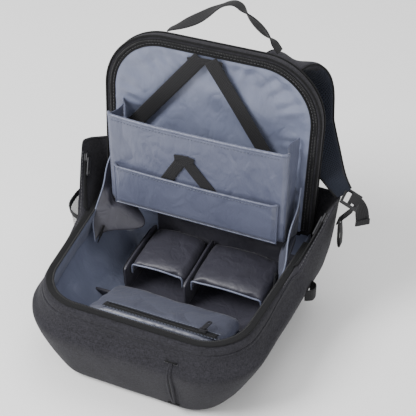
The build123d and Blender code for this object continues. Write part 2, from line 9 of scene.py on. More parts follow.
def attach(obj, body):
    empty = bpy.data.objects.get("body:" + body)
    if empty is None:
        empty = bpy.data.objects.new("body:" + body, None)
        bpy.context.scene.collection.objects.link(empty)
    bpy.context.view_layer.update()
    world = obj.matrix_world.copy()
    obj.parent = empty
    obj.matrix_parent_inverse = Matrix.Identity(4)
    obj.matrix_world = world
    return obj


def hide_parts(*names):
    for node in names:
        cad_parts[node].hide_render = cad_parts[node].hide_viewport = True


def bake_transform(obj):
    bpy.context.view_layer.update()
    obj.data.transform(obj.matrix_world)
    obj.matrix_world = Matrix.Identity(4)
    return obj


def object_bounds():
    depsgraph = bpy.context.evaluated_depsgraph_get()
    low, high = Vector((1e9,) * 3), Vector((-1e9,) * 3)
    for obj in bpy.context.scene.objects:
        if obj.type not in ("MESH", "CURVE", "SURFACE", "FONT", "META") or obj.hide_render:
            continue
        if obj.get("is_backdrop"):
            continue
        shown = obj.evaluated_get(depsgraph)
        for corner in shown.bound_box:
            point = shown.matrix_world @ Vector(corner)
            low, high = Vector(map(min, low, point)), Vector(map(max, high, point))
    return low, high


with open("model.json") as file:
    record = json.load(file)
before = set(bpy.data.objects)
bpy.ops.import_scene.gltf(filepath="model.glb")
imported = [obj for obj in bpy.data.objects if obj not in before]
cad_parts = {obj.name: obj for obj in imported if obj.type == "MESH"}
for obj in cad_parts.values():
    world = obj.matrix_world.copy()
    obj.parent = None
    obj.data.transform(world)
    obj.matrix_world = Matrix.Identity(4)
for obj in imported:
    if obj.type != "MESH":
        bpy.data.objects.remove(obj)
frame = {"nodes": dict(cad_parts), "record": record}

cadLow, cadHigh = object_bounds()
cadBox = [list(cadLow), list(cadHigh)]
scene = bpy.context.scene
millimetre = 0.001


# small helpers; shapes are drawn in millimetres

def mix(a, b, share):
    return a + (b - a) * share


def clamp(value, low=0.0, high=1.0):
    return min(max(value, low), high)


def ease(share):
    share = clamp(share)
    return share * share * (3 - 2 * share)


def bump(value, middle, width):
    return ease(1 - abs(value - middle) / width)


def along(points, share):
    # smooth curve through points
    last = len(points) - 1
    at = clamp(share) * last
    i = min(int(at), last - 1)
    t = at - i
    b, c = points[i], points[i + 1]
    a = points[i - 1] if i else b * 2 - c
    d = points[i + 2] if i + 2 <= last else c * 2 - b
    return (b * 2 + (c - a) * t + (a * 2 - b * 5 + c * 4 - d) * t ** 2 + (b * 3 - a - c * 3 + d) * t ** 3) * 0.5


def vectors(points):
    return [Vector(p) for p in points]


def ripple(point, size, seed=0.0):
    # soft noise from -1 to 1 with lumps about this size
    return noise.noise(Vector((point[0] / size + seed, point[1] / size - seed, point[2] / size + 2 * seed)))


def gridSheet(columns, rows, place, flat=(1, 1), closed=False, capped=False):
    # a grid bent by place(s, t); closed joins its sides into a tube, capped closes the tube's ends
    bm = bmesh.new()
    bmesh.ops.create_grid(bm, x_segments=columns, y_segments=rows, size=1)
    uv = bm.loops.layers.uv.new("flat")
    for face in bm.faces:
        for loop in face.loops:
            x, y = loop.vert.co.x, loop.vert.co.y
            loop[uv].uv = ((x + 1) / 2 * flat[0] * millimetre, (y + 1) / 2 * flat[1] * millimetre)
    for v in bm.verts:
        v.co = place((v.co.x + 1) / 2, (v.co.y + 1) / 2)
    if closed:
        bmesh.ops.remove_doubles(bm, verts=bm.verts, dist=0.02)
    if capped:
        bmesh.ops.holes_fill(bm, edges=[e for e in bm.edges if e.is_boundary], sides=0)
        bmesh.ops.recalc_face_normals(bm, faces=bm.faces)
    return bm


def soften(obj, levels=1):
    soft = obj.modifiers.new("soften", "SUBSURF")
    soft.levels = levels
    soft.render_levels = levels


def finishPiece(name, bm, material, body=None, replaced=(), skin=0.0, smooth=0, offset=0.0):
    mesh = bpy.data.meshes.new(name)
    bm.to_mesh(mesh)
    bm.free()
    mesh.transform(Matrix.Scale(millimetre, 4))
    obj = bpy.data.objects.new(name, mesh)
    scene.collection.objects.link(obj)
    for one in material if isinstance(material, (list, tuple)) else [material]:
        mesh.materials.append(one)
    mesh.polygons.foreach_set("use_smooth", [True] * len(mesh.polygons))
    if skin:
        solid = obj.modifiers.new("thickness", "SOLIDIFY")
        solid.thickness = skin * millimetre
        solid.offset = offset
        solid.use_even_offset = False
    if smooth:
        soften(obj, smooth)
    if body:
        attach(obj, body)
    if replaced:
        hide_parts(*replaced)
    return obj


def box(bm, centre, size, turn=None, bevel=0.0, segments=2):
    made = bmesh.ops.create_cube(bm, size=1)["verts"]
    bmesh.ops.scale(bm, vec=size, verts=made)
    if bevel:
        edges = list({e for v in made for e in v.link_edges})
        made = bmesh.ops.bevel(
            bm, geom=edges, offset=bevel, offset_type="OFFSET", segments=segments,
            profile=0.5, affect="EDGES", material=-1,
        )["verts"]
    if turn:
        bmesh.ops.transform(bm, matrix=turn, verts=made)
    bmesh.ops.translate(bm, vec=centre, verts=made)
    return made


def pathFrames(points, up, closed=False):
    # place, direction and side of each point on a line
    frames = []
    last = len(points) - 1
    for i, p in enumerate(points):
        before = points[i - 1] if i or closed else points[0]
        after = points[(i + 1) % len(points)] if i < last or closed else points[last]
        run = (after - before).normalized()
        lift = up(i / last) if callable(up) else up
        side = run.cross(lift).normalized()
        frames.append((p, run, side))
    return frames


def tube(points, radius, sides=8, closed=False, up=Vector((0, 0, 1))):
    # round cord or piping along a line
    frames = pathFrames(points, up, closed)
    rows = len(points) if closed else len(points) - 1

    def place(s, t):
        i = round(t * rows) % len(points)
        p, run, side = frames[i]
        lift = side.cross(run)
        turn = 2 * pi * s
        return p + side * cos(turn) * radius + lift * sin(turn) * radius

    made = gridSheet(sides, rows, place, closed=True, capped=not closed)
    bmesh.ops.recalc_face_normals(made, faces=made.faces)
    return made


def band(points, width, up, columns=4, rows=None, crown=0.0):
    # flat strip along a line, its face towards up
    rows = rows or len(points) * 3
    length = sum((b - a).length for a, b in zip(points, points[1:]))
    line = [along(points, i / rows) for i in range(rows + 1)]
    frames = pathFrames(line, up)

    def place(s, t):
        p, run, side = frames[round(t * rows)]
        lift = side.cross(run)
        wide = width(t) if callable(width) else width
        return p + side * (s - 0.5) * wide + lift * crown * (1 - (2 * s - 1) ** 2)

    return gridSheet(columns, rows, place, flat=(width(0.5) if callable(width) else width, length))


def joinMeshes(parts):
    # several drawings made one
    whole = bmesh.new()
    whole.loops.layers.uv.new("flat")
    for part in parts:
        held = bpy.data.meshes.new("held")
        part.to_mesh(held)
        part.free()
        whole.from_mesh(held)
        bpy.data.meshes.remove(held)
    return whole


# materials

def newGroup(name, inputs, outputs):
    group = bpy.data.node_groups.new(name, "ShaderNodeTree")
    for label, value in inputs:
        socket = group.interface.new_socket(label, in_out="INPUT", socket_type="NodeSocketFloat")
        socket.default_value = value
    for label, kind in outputs:
        group.interface.new_socket(label, in_out="OUTPUT", socket_type=kind)
    return group, group.nodes.new("NodeGroupInput"), group.nodes.new("NodeGroupOutput")


def calc(tree, operation, first, second=None, clampIt=False):
    node = tree.nodes.new("ShaderNodeMath")
    node.operation = operation
    node.use_clamp = clampIt
    for i, value in enumerate((first, second)):
        if value is None:
            continue
        if isinstance(value, (int, float)):
            node.inputs[i].default_value = value
        else:
            tree.links.new(value, node.inputs[i])
    return node.outputs[0]


def noiseOf(tree, vector, scale, detail=2.0, rough=0.5, distortion=0.0):
    node = tree.nodes.new("ShaderNodeTexNoise")
    node.inputs["Detail"].default_value = detail
    node.inputs["Roughness"].default_value = rough
    node.inputs["Distortion"].default_value = distortion
    tree.links.new(vector, node.inputs["Vector"])
    if isinstance(scale, (int, float)):
        node.inputs["Scale"].default_value = scale
    else:
        tree.links.new(scale, node.inputs["Scale"])
    return node.outputs["Fac"]


def stretched(tree, vector, scale):
    node = tree.nodes.new("ShaderNodeMapping")
    node.inputs["Scale"].default_value = scale
    tree.links.new(vector, node.inputs["Vector"])
    return node.outputs["Vector"]


def makeMelange():
    # crossed yarn streaks, light and dark, with a woven relief
    group, given, result = newGroup(
        "melangeYarn", [("Scale", 1.0)], [("Yarn", "NodeSocketFloat"), ("Relief", "NodeSocketFloat")])
    place = group.nodes.new("ShaderNodeTexCoord").outputs["Object"]
    flecks = noiseOf(group, stretched(group, place, (210, 900, 900)), given.outputs["Scale"], 2, 0.6)
    cross = noiseOf(group, stretched(group, place, (900, 260, 300)), given.outputs["Scale"], 2, 0.6)
    cloud = noiseOf(group, stretched(group, place, (26, 26, 26)), given.outputs["Scale"], 3, 0.6)
    yarn = calc(group, "ADD", calc(group, "MULTIPLY", flecks, 0.46), calc(group, "MULTIPLY", cross, 0.42))
    yarn = calc(group, "ADD", yarn, calc(group, "MULTIPLY", cloud, 0.12))
    spread = group.nodes.new("ShaderNodeMapRange")
    spread.inputs["From Min"].default_value = 0.36
    spread.inputs["From Max"].default_value = 0.64
    group.links.new(yarn, spread.inputs["Value"])
    group.links.new(spread.outputs[0], result.inputs["Yarn"])
    weave = noiseOf(group, stretched(group, place, (1100, 1100, 1100)), given.outputs["Scale"], 1, 0.4)
    group.links.new(calc(group, "ADD", weave, calc(group, "MULTIPLY", cross, 0.6)), result.inputs["Relief"])
    return group


def makeCreases():
    # fine puckers of thin nylon over soft padding
    group, given, result = newGroup(
        "nylonCreases", [("Size", 1.0)], [("Crease", "NodeSocketFloat"), ("Shade", "NodeSocketFloat")])
    place = group.nodes.new("ShaderNodeTexCoord").outputs["Object"]
    broad = noiseOf(group, stretched(group, place, (26, 26, 20)), given.outputs["Size"], 2, 0.45, 1.2)
    thin = noiseOf(group, stretched(group, place, (75, 75, 34)), given.outputs["Size"], 2, 0.5, 2.0)
    fold = calc(group, "ABSOLUTE", calc(group, "SUBTRACT", broad, 0.5))
    crease = calc(group, "ADD", calc(group, "MULTIPLY", fold, 1.6), calc(group, "MULTIPLY", thin, 0.35))
    group.links.new(crease, result.inputs["Crease"])
    group.links.new(calc(group, "MULTIPLY", broad, 1.0, True), result.inputs["Shade"])
    return group


def makeRibs():
    # ribs along and picks across a strip, from its flat layout
    group, given, result = newGroup(
        "ribbedTape", [("Ribs", 900.0), ("Picks", 700.0)], [("Rib", "NodeSocketFloat"), ("Tone", "NodeSocketFloat")])
    flat = group.nodes.new("ShaderNodeUVMap")
    flat.uv_map = "flat"
    parts = group.nodes.new("ShaderNodeSeparateXYZ")
    group.links.new(flat.outputs["UV"], parts.inputs[0])
    waves = []
    for axis, count, depth in (("X", "Ribs", 0.35), ("Y", "Picks", 0.25)):
        turns = calc(group, "MULTIPLY", parts.outputs[axis], 6.2832)
        wave = calc(group, "SINE", calc(group, "MULTIPLY", turns, given.outputs[count]))
        waves.append(calc(group, "MULTIPLY", wave, depth))
    rib = calc(group, "ADD", waves[0], waves[1])
    group.links.new(calc(group, "ADD", rib, 0.5), result.inputs["Rib"])
    tone = noiseOf(group, stretched(group, flat.outputs["UV"], (500, 1800, 1)), 1.0, 2, 0.6)
    group.links.new(tone, result.inputs["Tone"])
    return group


def makeHoles():
    # open spacer mesh: rows of small holes
    group, given, result = newGroup("holeMesh", [("Pitch", 420.0)], [("Hole", "NodeSocketFloat")])
    flat = group.nodes.new("ShaderNodeUVMap")
    flat.uv_map = "flat"
    cells = group.nodes.new("ShaderNodeTexVoronoi")
    cells.feature = "DISTANCE_TO_EDGE"
    cells.inputs["Randomness"].default_value = 0.0
    turn = group.nodes.new("ShaderNodeMapping")
    turn.inputs["Rotation"].default_value = (0, 0, 0.7854)
    group.links.new(flat.outputs["UV"], turn.inputs["Vector"])
    group.links.new(turn.outputs["Vector"], cells.inputs["Vector"])
    group.links.new(given.outputs["Pitch"], cells.inputs["Scale"])
    span = group.nodes.new("ShaderNodeMapRange")
    span.inputs["From Min"].default_value = 0.12
    span.inputs["From Max"].default_value = 0.28
    group.links.new(cells.outputs["Distance"], span.inputs["Value"])
    group.links.new(span.outputs[0], result.inputs["Hole"])
    return group


melangeYarn = makeMelange()
nylonCreases = makeCreases()
ribbedTape = makeRibs()
holeMesh = makeHoles()


def startMaterial(name, roughness, sheen=0.0, sheenRough=0.5, metallic=0.0, gloss=0.2):
    material = bpy.data.materials.new(name)
    material.use_nodes = True
    tree = material.node_tree
    shader = tree.nodes["Principled BSDF"]
    shader.inputs["Roughness"].default_value = roughness
    shader.inputs["Sheen Weight"].default_value = sheen
    shader.inputs["Sheen Roughness"].default_value = sheenRough
    shader.inputs["Metallic"].default_value = metallic
    shader.inputs["Specular IOR Level"].default_value = gloss
    return material, tree, shader


def useGroup(tree, group, **values):
    node = tree.nodes.new("ShaderNodeGroup")
    node.node_tree = group
    for label, value in values.items():
        node.inputs[label].default_value = value
    return node


def blendColour(tree, mask, first, second):
    node = tree.nodes.new("ShaderNodeMix")
    node.data_type = "RGBA"
    node.inputs["A"].default_value = (*first, 1)
    node.inputs["B"].default_value = (*second, 1)
    tree.links.new(mask, node.inputs["Factor"])
    return node.outputs["Result"]


def addRelief(tree, shader, height, strength, distance):
    node = tree.nodes.new("ShaderNodeBump")
    node.inputs["Strength"].default_value = strength
    node.inputs["Distance"].default_value = distance
    tree.links.new(height, node.inputs["Height"])
    tree.links.new(node.outputs["Normal"], shader.inputs["Normal"])


def clothMaterial(name, dark, light, roughness=0.92, relief=0.5, sheen=0.04):
    material, tree, shader = startMaterial(name, roughness, sheen, 0.6)
    yarn = useGroup(tree, melangeYarn, Scale=1.0)
    tree.links.new(blendColour(tree, yarn.outputs["Yarn"], dark, light), shader.inputs["Base Color"])
    addRelief(tree, shader, yarn.outputs["Relief"], relief, 0.0006)
    return material


def nylonMaterial(name, dark, light, roughness=0.36, relief=0.4, size=1.0, sheen=0.15):
    material, tree, shader = startMaterial(name, roughness, sheen, 0.35, gloss=0.6)
    crease = useGroup(tree, nylonCreases, Size=size)
    tree.links.new(blendColour(tree, crease.outputs["Shade"], dark, light), shader.inputs["Base Color"])
    addRelief(tree, shader, crease.outputs["Crease"], relief, 0.004)
    return material


def tapeMaterial(name, dark, light, ribs, picks, roughness=0.75, relief=0.6):
    material, tree, shader = startMaterial(name, roughness, 0.04, 0.5)
    rib = useGroup(tree, ribbedTape, Ribs=ribs, Picks=picks)
    shade = calc(tree, "MULTIPLY", rib.outputs["Rib"], rib.outputs["Tone"], True)
    tree.links.new(blendColour(tree, shade, dark, light), shader.inputs["Base Color"])
    addRelief(tree, shader, rib.outputs["Rib"], relief, 0.0005)
    return material


def meshMaterial(name, thread, hole, pitch, seeThrough=False):
    material, tree, shader = startMaterial(name, 0.8, 0.05, 0.5)
    net = useGroup(tree, holeMesh, Pitch=pitch)
    tree.links.new(blendColour(tree, net.outputs["Hole"], thread, hole), shader.inputs["Base Color"])
    if seeThrough:
        seen = calc(tree, "SUBTRACT", 1.0, calc(tree, "MULTIPLY", net.outputs["Hole"], 0.7), True)
        tree.links.new(seen, shader.inputs["Alpha"])
    else:
        addRelief(tree, shader, calc(tree, "SUBTRACT", 1.0, net.outputs["Hole"]), 0.7, 0.0012)
    return material


def hardMaterial(name, dark, light, roughness, metallic=0.0, grain=900):
    material, tree, shader = startMaterial(name, roughness, metallic=metallic, gloss=0.4)
    place = tree.nodes.new("ShaderNodeTexCoord").outputs["Object"]
    speck = noiseOf(tree, place, grain, 3, 0.6)
    tree.links.new(blendColour(tree, speck, dark, light), shader.inputs["Base Color"])
    addRelief(tree, shader, speck, 0.15, 0.0003)
    return material


charcoal = clothMaterial("charcoalMelange", (0.009, 0.0088, 0.011), (0.031, 0.030, 0.037))
charcoalDeep = clothMaterial("charcoalFacing", (0.003, 0.003, 0.0035), (0.0095, 0.0095, 0.0105))
lining = nylonMaterial("paleNylon", (0.105, 0.12, 0.182), (0.195, 0.215, 0.3))
# painted shade: the pockets are of the pale lining nylon; this darker copy of it stands for the shade across them
shadedPocketNylon = nylonMaterial("shadedPocketNylon", (0.07, 0.079, 0.126), (0.122, 0.134, 0.195))
flapNylon = nylonMaterial("flapNylon", (0.05, 0.053, 0.075), (0.09, 0.096, 0.13))
dividerCloth = nylonMaterial("greyNylon", (0.028, 0.027, 0.038), (0.05, 0.049, 0.066), 0.5, 0.4)
webbing = tapeMaterial("charcoalWebbing", (0.009, 0.009, 0.01), (0.04, 0.039, 0.041), 420, 560)
zipCloth = tapeMaterial("zipTape", (0.004, 0.004, 0.0045), (0.016, 0.016, 0.018), 1200, 900)
airMesh = meshMaterial("navyAirMesh", (0.016, 0.02, 0.033), (0.003, 0.004, 0.008), 380)
stretchMesh = meshMaterial("paleStretchMesh", (0.5, 0.5, 0.5), (0.12, 0.12, 0.12), 330, True)
coil = hardMaterial("zipCoil", (0.01, 0.01, 0.011), (0.03, 0.03, 0.032), 0.35)
gunmetal = hardMaterial("blackMetal", (0.014, 0.014, 0.015), (0.035, 0.035, 0.037), 0.3, 0.6)
blackPlastic = hardMaterial("blackPlastic", (0.01, 0.01, 0.011), (0.02, 0.02, 0.022), 0.5)
threadGrey = hardMaterial("seamThread", (0.05, 0.05, 0.055), (0.1, 0.1, 0.105), 0.7)
threadPale = hardMaterial("paleThread", (0.1, 0.11, 0.15), (0.15, 0.165, 0.21), 0.7)
print("materials ready")


# tub: one skin from the floor up the walls, over the rim and up the two ears

tub = {
    # half width near and far, y near and far, corner radius near and far
    "floor": (108, 137, -143, 120, 42, 30),
    "belly": (152, 172, -160, 134, 72, 42),
    "rim": (138, 158, -138, 131, 62, 30),
    "bellyHeight": 80,
    "rimHeight": 118,
    "stops": (0, 0.16, 0.30, 0.45, 0.62, 0.70, 0.82, 1),
    "crease": 106,
    "earEdge": (
        (0.45, (161, 24, 118)), (0.50, (166, 44, 140)), (0.56, (175, 69, 167)), (0.62, (182, 91, 190)),
        (0.66, (181, 112, 181)), (0.70, (178, 128, 172)), (0.76, (169, 138, 169)), (0.82, (150, 141, 168)),
        (1.0, (0, 142, 166)),
    ),
    "innerEdge": ((0.62, (155, 92, 118.6)), (0.70, (151, 112, 119)), (0.82, (140, 119, 119)), (1.0, (0, 119.5, 119))),
    "columns": 160,
    "skin": 1.4,
    "sag": 3.2,
    "crumple": 1.3,
}


def between(stops, share):
    for (a, p), (b, q) in zip(stops, stops[1:]):
        if share <= b:
            return Vector(p).lerp(Vector(q), clamp((share - a) / (b - a)))
    return Vector(stops[-1][1])


def cornerArc(before, corner, after, radius, share):
    first, second = (before - corner).normalized(), (after - corner).normalized()
    half = first.angle(second) / 2
    centre = corner + (first + second).normalized() * (radius / sin(half))
    start = corner + first * (radius / tan(half)) - centre
    end = corner + second * (radius / tan(half)) - centre
    total = start.angle(end)
    return centre + (start * sin((1 - share) * total) + end * sin(share * total)) / sin(total)


def levelOutline(level, half, inset=0.0):
    # point on the right half of a level's outline, from the near middle (0) to the far middle (1)
    nearHalf, farHalf, nearY, farY, nearRadius, farRadius = level
    nearMiddle, near = Vector((0, nearY + inset)), Vector((nearHalf - inset, nearY + inset))
    farMiddle, far = Vector((0, farY - inset)), Vector((farHalf - inset, farY - inset))
    nearRadius, farRadius = max(nearRadius - inset, 6), max(farRadius - inset, 6)
    arcOut = cornerArc(nearMiddle, near, far, nearRadius, 1)
    arcIn = cornerArc(near, far, farMiddle, farRadius, 0)

    def onSide(y):
        return arcOut.lerp(arcIn, clamp((y - arcOut.y) / (arcIn.y - arcOut.y)))

    marks = (
        nearMiddle, cornerArc(nearMiddle, near, far, nearRadius, 0), arcOut, onSide(24),
        onSide(min(92, arcIn.y - 2)), arcIn, cornerArc(near, far, farMiddle, farRadius, 1), farMiddle,
    )
    stops = tub["stops"]
    for i in range(len(stops) - 1):
        if half <= stops[i + 1]:
            share = (half - stops[i]) / (stops[i + 1] - stops[i])
            if i == 1:
                return cornerArc(nearMiddle, near, far, nearRadius, share)
            if i == 5:
                return cornerArc(near, far, farMiddle, farRadius, share)
            return marks[i].lerp(marks[i + 1], share)
    return farMiddle


def mixLevel(share):
    return [mix(a, b, share) for a, b in zip(tub["belly"], tub["rim"])]


def rimPoint(half, inset=0.0, height=0.0):
    return Vector((*levelOutline(tub["rim"], half, inset), tub["rimHeight"] + height))


def outerEdge(half):
    low = tub["crease"] + 12 * ease((half - 0.33) / 0.12)
    share = (low - tub["bellyHeight"]) / (tub["rimHeight"] - tub["bellyHeight"])
    if half < 0.45:
        return Vector((*levelOutline(mixLevel(share), half), low)) + Vector((6, 0, 0)) * ease((half - 0.36) / 0.09)
    return between(tub["earEdge"], half)


def innerEdge(half):
    return rimPoint(half, 0.5, 0.6) if half < 0.62 else between(tub["innerEdge"], half)


def wallPoint(half, share):
    # up the outside of the wall, floor edge 0 to the crease or the ear's edge 1
    floor = Vector((*levelOutline(tub["floor"], half), 1))
    belly = Vector((*levelOutline(tub["belly"], half), tub["bellyHeight"]))
    top = outerEdge(half)
    out = Vector((belly.x, belly.y + 12, 0)).normalized()
    low = floor.lerp(belly, 0.14) + out * 5
    middle = floor.lerp(belly, 0.5) + out * (tub["sag"] + 3)
    high = belly.lerp(top, 0.5) + out * (1.5 + 2.5 * ease((half - 0.4) / 0.2))
    return along([floor, low, middle, belly + out * tub["sag"], high, top], share)


shellRows = (
    [("floor", 0.0), ("floor", 0.35), ("floor", 0.7), ("floor", 0.92)]
    + [("wall", i / 26) for i in range(26)]
    + [("seam", -3.0), ("seam", -1.2), ("seam", 0.0), ("seam", 1.2), ("seam", 3.0)]
    + [("facing", i / 9) for i in range(2, 10)]
    + [("lip", 2.0), ("lip", 7.0), ("lip", 16.0)]
)


def shellPoint(s, t):
    kind, value = shellRows[round(t * (len(shellRows) - 1))]
    half = 2 * s if s <= 0.5 else 2 - 2 * s
    sign = 1 if s <= 0.5 else -1
    out = (Vector((*levelOutline(tub["belly"], half), 0)) + Vector((0, 12, 0))).normalized()
    edge, inner = outerEdge(half), innerEdge(half)
    flop = ripple((edge.x * sign, edge.y, edge.z), 34, 3.1) * 2.2
    inward = (inner - edge).normalized()
    crest = out * 1.2 + Vector((0, 0, 1.4))
    if kind == "floor":
        ring = Vector((*levelOutline(tub["floor"], half), 0))
        point = Vector((0, -12, 0)).lerp(ring, value)
    elif kind == "wall":
        point = wallPoint(half, value * 0.985)
        here = (point.x * sign, point.y, point.z)
        fold = (ripple(here, 55, 7.7) * 1.5 + ripple(here, 23, 1.3) * 0.55) * tub["crumple"]
        point = point + out * fold * ease(value * 5)
    elif kind == "seam":
        below = (wallPoint(half, 0.94) - edge).normalized()
        step = below * -value if value < 0 else inward * value
        point = edge + step + crest * max(0.0, 1 - abs(value) / 2.0)
    elif kind == "facing":
        deep = (inner - edge).length
        lift = inward.cross(Vector((-out.y, out.x, 0))).normalized()
        lift = lift if lift.z > 0 else -lift
        puff = sin(pi * value) * (1.6 + 0.03 * deep)
        point = edge.lerp(inner, value) + lift * (puff + flop * 0.5 * sin(pi * value) * clamp(deep / 40))
    else:
        point = inner - out * (value * 0.35) - Vector((0, 0, value))
    point.z = max(point.z, 0.0)
    return Vector((point.x * sign, point.y, point.z))


bm = gridSheet(tub["columns"], len(shellRows) - 1, shellPoint, closed=True)
bmesh.ops.remove_doubles(bm, verts=bm.verts, dist=0.02)
bmesh.ops.recalc_face_normals(bm, faces=bm.faces)
finishPiece(
    "outerShell", bm, charcoal, "tub",
    ("front_panel", "side_panel_left", "side_panel_right", "top_end_panel", "bottom_end_panel",
     "ear_left", "ear_right", "lower_back_panel"),
    skin=tub["skin"], smooth=1, offset=-1,
)
print("shell ready")

stitch = {"length": 3.0, "gap": 1.5, "radius": 0.32}


def blocksAlong(lines, name, material, body, size, pitch, first=0.0, facing=None):
    # small blocks laid along lines, all one piece, turned along the line and, if facing is given, to it
    bm = bmesh.new()
    bm.loops.layers.uv.new("flat")
    for line in lines:
        travelled, mark = 0.0, first
        for a, b in zip(line, line[1:]):
            run = (b - a).length
            if facing:
                direction = (b - a).normalized()
                side = direction.cross(facing).normalized()
                turn = Matrix((direction, side, side.cross(direction))).transposed().to_4x4()
            else:
                turn = (b - a).to_track_quat("X", "Z").to_matrix().to_4x4()
            while mark <= travelled + run and run > 1e-6:
                made = bmesh.ops.create_cube(bm, size=1)["verts"]
                bmesh.ops.scale(bm, vec=size, verts=made)
                spot = Matrix.Translation(a.lerp(b, (mark - travelled) / run))
                bmesh.ops.transform(bm, matrix=spot @ turn, verts=made)
                mark += pitch
            travelled += run
    return finishPiece(name, bm, material, body)


def stitchRun(lines, name, material, body, spec=stitch):
    size = (spec["length"], 2.2 * spec["radius"], 2 * spec["radius"])
    blocksAlong(lines, name, material, body, size, spec["length"] + spec["gap"])


def teeth(lines, spec, name, body, facing=Vector((0, 0, 1))):
    blocksAlong(lines, name, coil, body, spec["tooth"], spec["pitch"], spec["pitch"], facing)


def aroundHalf(start, end, count, point):
    # both sides of the tub, along one line from share start to end
    right = [point(mix(start, end, i / count)) for i in range(count + 1)]
    return right, [Vector((-p.x, p.y, p.z)) for p in right]


def creaseStitch(half):
    edge, inner = outerEdge(half), innerEdge(half)
    return edge + (inner - edge).normalized() * 4.2 + Vector((0, 0, 0.9 + 0.02 * (inner - edge).length))


stitchRun(aroundHalf(0.0, 0.6, 170, creaseStitch), "rimStitching", threadGrey, "tub")

# rim zip tape with its row of coil teeth, and the tapes up the ears
rimTape = {"width": 9.5, "height": 1.3, "tooth": (1.1, 2.6, 1.5), "pitch": 2.1}


def tapeLine(inset, height, start=0.0, end=0.6, count=150):
    right, left = aroundHalf(start, end, count, lambda half: rimPoint(half, inset, height))
    return list(reversed(left)) + right[1:]


def tapePoint(s, t):
    half = t * 2 - 1
    share = abs(half) * 0.6
    p = rimPoint(share, mix(-0.5, rimTape["width"], s), rimTape["height"] - 1.6 * s * s)
    return Vector((p.x if half > 0 else -p.x, p.y, p.z))


bm = gridSheet(6, 300, tapePoint, flat=(9.5, 900))
earTapes = []
for sign in (-1, 1):
    def earTape(s, t, sign=sign):
        half = mix(0.47, 0.60, t)
        edge, inner = outerEdge(half), innerEdge(half)
        p = edge + (inner - edge).normalized() * mix(5.5, 13.5, s)
        lift = Vector((-0.9, -0.2, 0.35)).normalized()
        p = p + lift * (3.4 + 0.8 * sin(pi * s))
        return Vector((p.x * sign, p.y, p.z))
    earTapes.append(gridSheet(4, 40, earTape, flat=(8, 90)))
finishPiece(
    "rimZipTape", joinMeshes([bm] + earTapes), zipCloth, "tub", ("tub_zip_tape",), skin=1.0, offset=0)
teeth([tapeLine(rimTape["width"] - 1, 0.4)], rimTape, "rimZipTeeth", "tub")
print("rim ready")


# simulation of padding

padSpec = {"voxel": 4.5, "pressure": 4.0, "frames": 20}


def puffUp(obj, cap):
    # the closed mesh swells under its own filling; no point moves further than cap
    remesh = obj.modifiers.new("even", "REMESH")
    remesh.mode = "VOXEL"
    remesh.voxel_size = padSpec["voxel"] * millimetre
    even = bpy.data.meshes.new_from_object(obj.evaluated_get(bpy.context.evaluated_depsgraph_get()))
    obj.modifiers.clear()
    obj.data = even
    rest = [v.co.copy() for v in even.vertices]
    cloth = obj.modifiers.new("filling", "CLOTH")
    cloth.settings.use_pressure = True
    cloth.settings.uniform_pressure_force = padSpec["pressure"]
    cloth.settings.effector_weights.gravity = 0
    cloth.settings.quality = 5
    for number in range(1, padSpec["frames"] + 1):
        scene.frame_set(number)
    swollen = bpy.data.meshes.new_from_object(obj.evaluated_get(bpy.context.evaluated_depsgraph_get()))
    obj.modifiers.clear()
    for v, start in zip(swollen.vertices, rest):
        move = v.co - start
        if move.length > cap * millimetre:
            v.co = start + move.normalized() * cap * millimetre
    obj.data = swollen
    swollen.polygons.foreach_set("use_smooth", [True] * len(swollen.polygons))
    scene.frame_set(1)
    print("padded", obj.name)


def crumple(obj, fold, seed, size):
    # small soft folds in a finished mesh, along its normals
    mesh = obj.data
    moved = [
        v.co + v.normal * millimetre * fold * (
            ripple(v.co / millimetre, size, seed) + 0.5 * ripple(v.co / millimetre, size / 2.4, seed + 4))
        for v in mesh.vertices
    ]
    for v, co in zip(mesh.vertices, moved):
        v.co = co
    mesh.update()


# padded insert: a soft bowl of pale nylon

bowl = {
    "rows": ((8.5, 118.0), (10, 115), (11.5, 108), (12.5, 96), (13.5, 82), (15, 66), (17.5, 50), (23, 35), (33, 23.5),
             (48, 17.0), (66, 14.6)),
    "floorRows": (0.85, 0.6, 0.35, 0.0),
    "fold": 2.6,
}


def levelAt(height):
    if height < tub["bellyHeight"]:
        return [mix(a, b, height / tub["bellyHeight"]) for a, b in zip(tub["floor"], tub["belly"])]
    return mixLevel((height - tub["bellyHeight"]) / (tub["rimHeight"] - tub["bellyHeight"]))


def hullPoint(half, height, inset):
    return Vector((*levelOutline(levelAt(height), half, inset), height))


def bowlPoint(s, t):
    steps = len(bowl["rows"]) + len(bowl["floorRows"])
    at = t * (steps - 1)
    i = min(int(at), steps - 2)
    part = at - i
    half = 2 * s if s <= 0.5 else 2 - 2 * s
    sign = 1 if s <= 0.5 else -1

    def ring(k):
        if k < len(bowl["rows"]):
            inset, height = bowl["rows"][k]
            return hullPoint(half, height, inset)
        inset, height = bowl["rows"][-1]
        edge = hullPoint(half, height, inset)
        return Vector((0, -10, 14.3)).lerp(Vector((edge.x, edge.y, 14.3)), bowl["floorRows"][k - len(bowl["rows"])])

    p = ring(i).lerp(ring(i + 1), part)
    p.x *= sign
    wall = bump(t, 0.35, 0.36)
    out = Vector((p.x, p.y + 12, 0)).normalized()
    stretch = Vector((p.x * 0.9, p.y * 0.9, p.z * 0.45 + p.y * 0.3))
    fold = abs(ripple(stretch, 26, 5.5)) * 1.7 + ripple(stretch, 46, 2.2) * 0.9 - 0.3
    gather = 0.5 * sin(half * 300 + 3 * ripple(p, 30)) * bump(t, 0.06, 0.1)
    p = p - out * (fold * bowl["fold"] * wall + gather)
    if t > 0.6:
        p.z += 0.35 * ripple(p, 20, 8) * clamp((t - 0.6) * 6)
    p.z = max(p.z, 13.6)
    return p


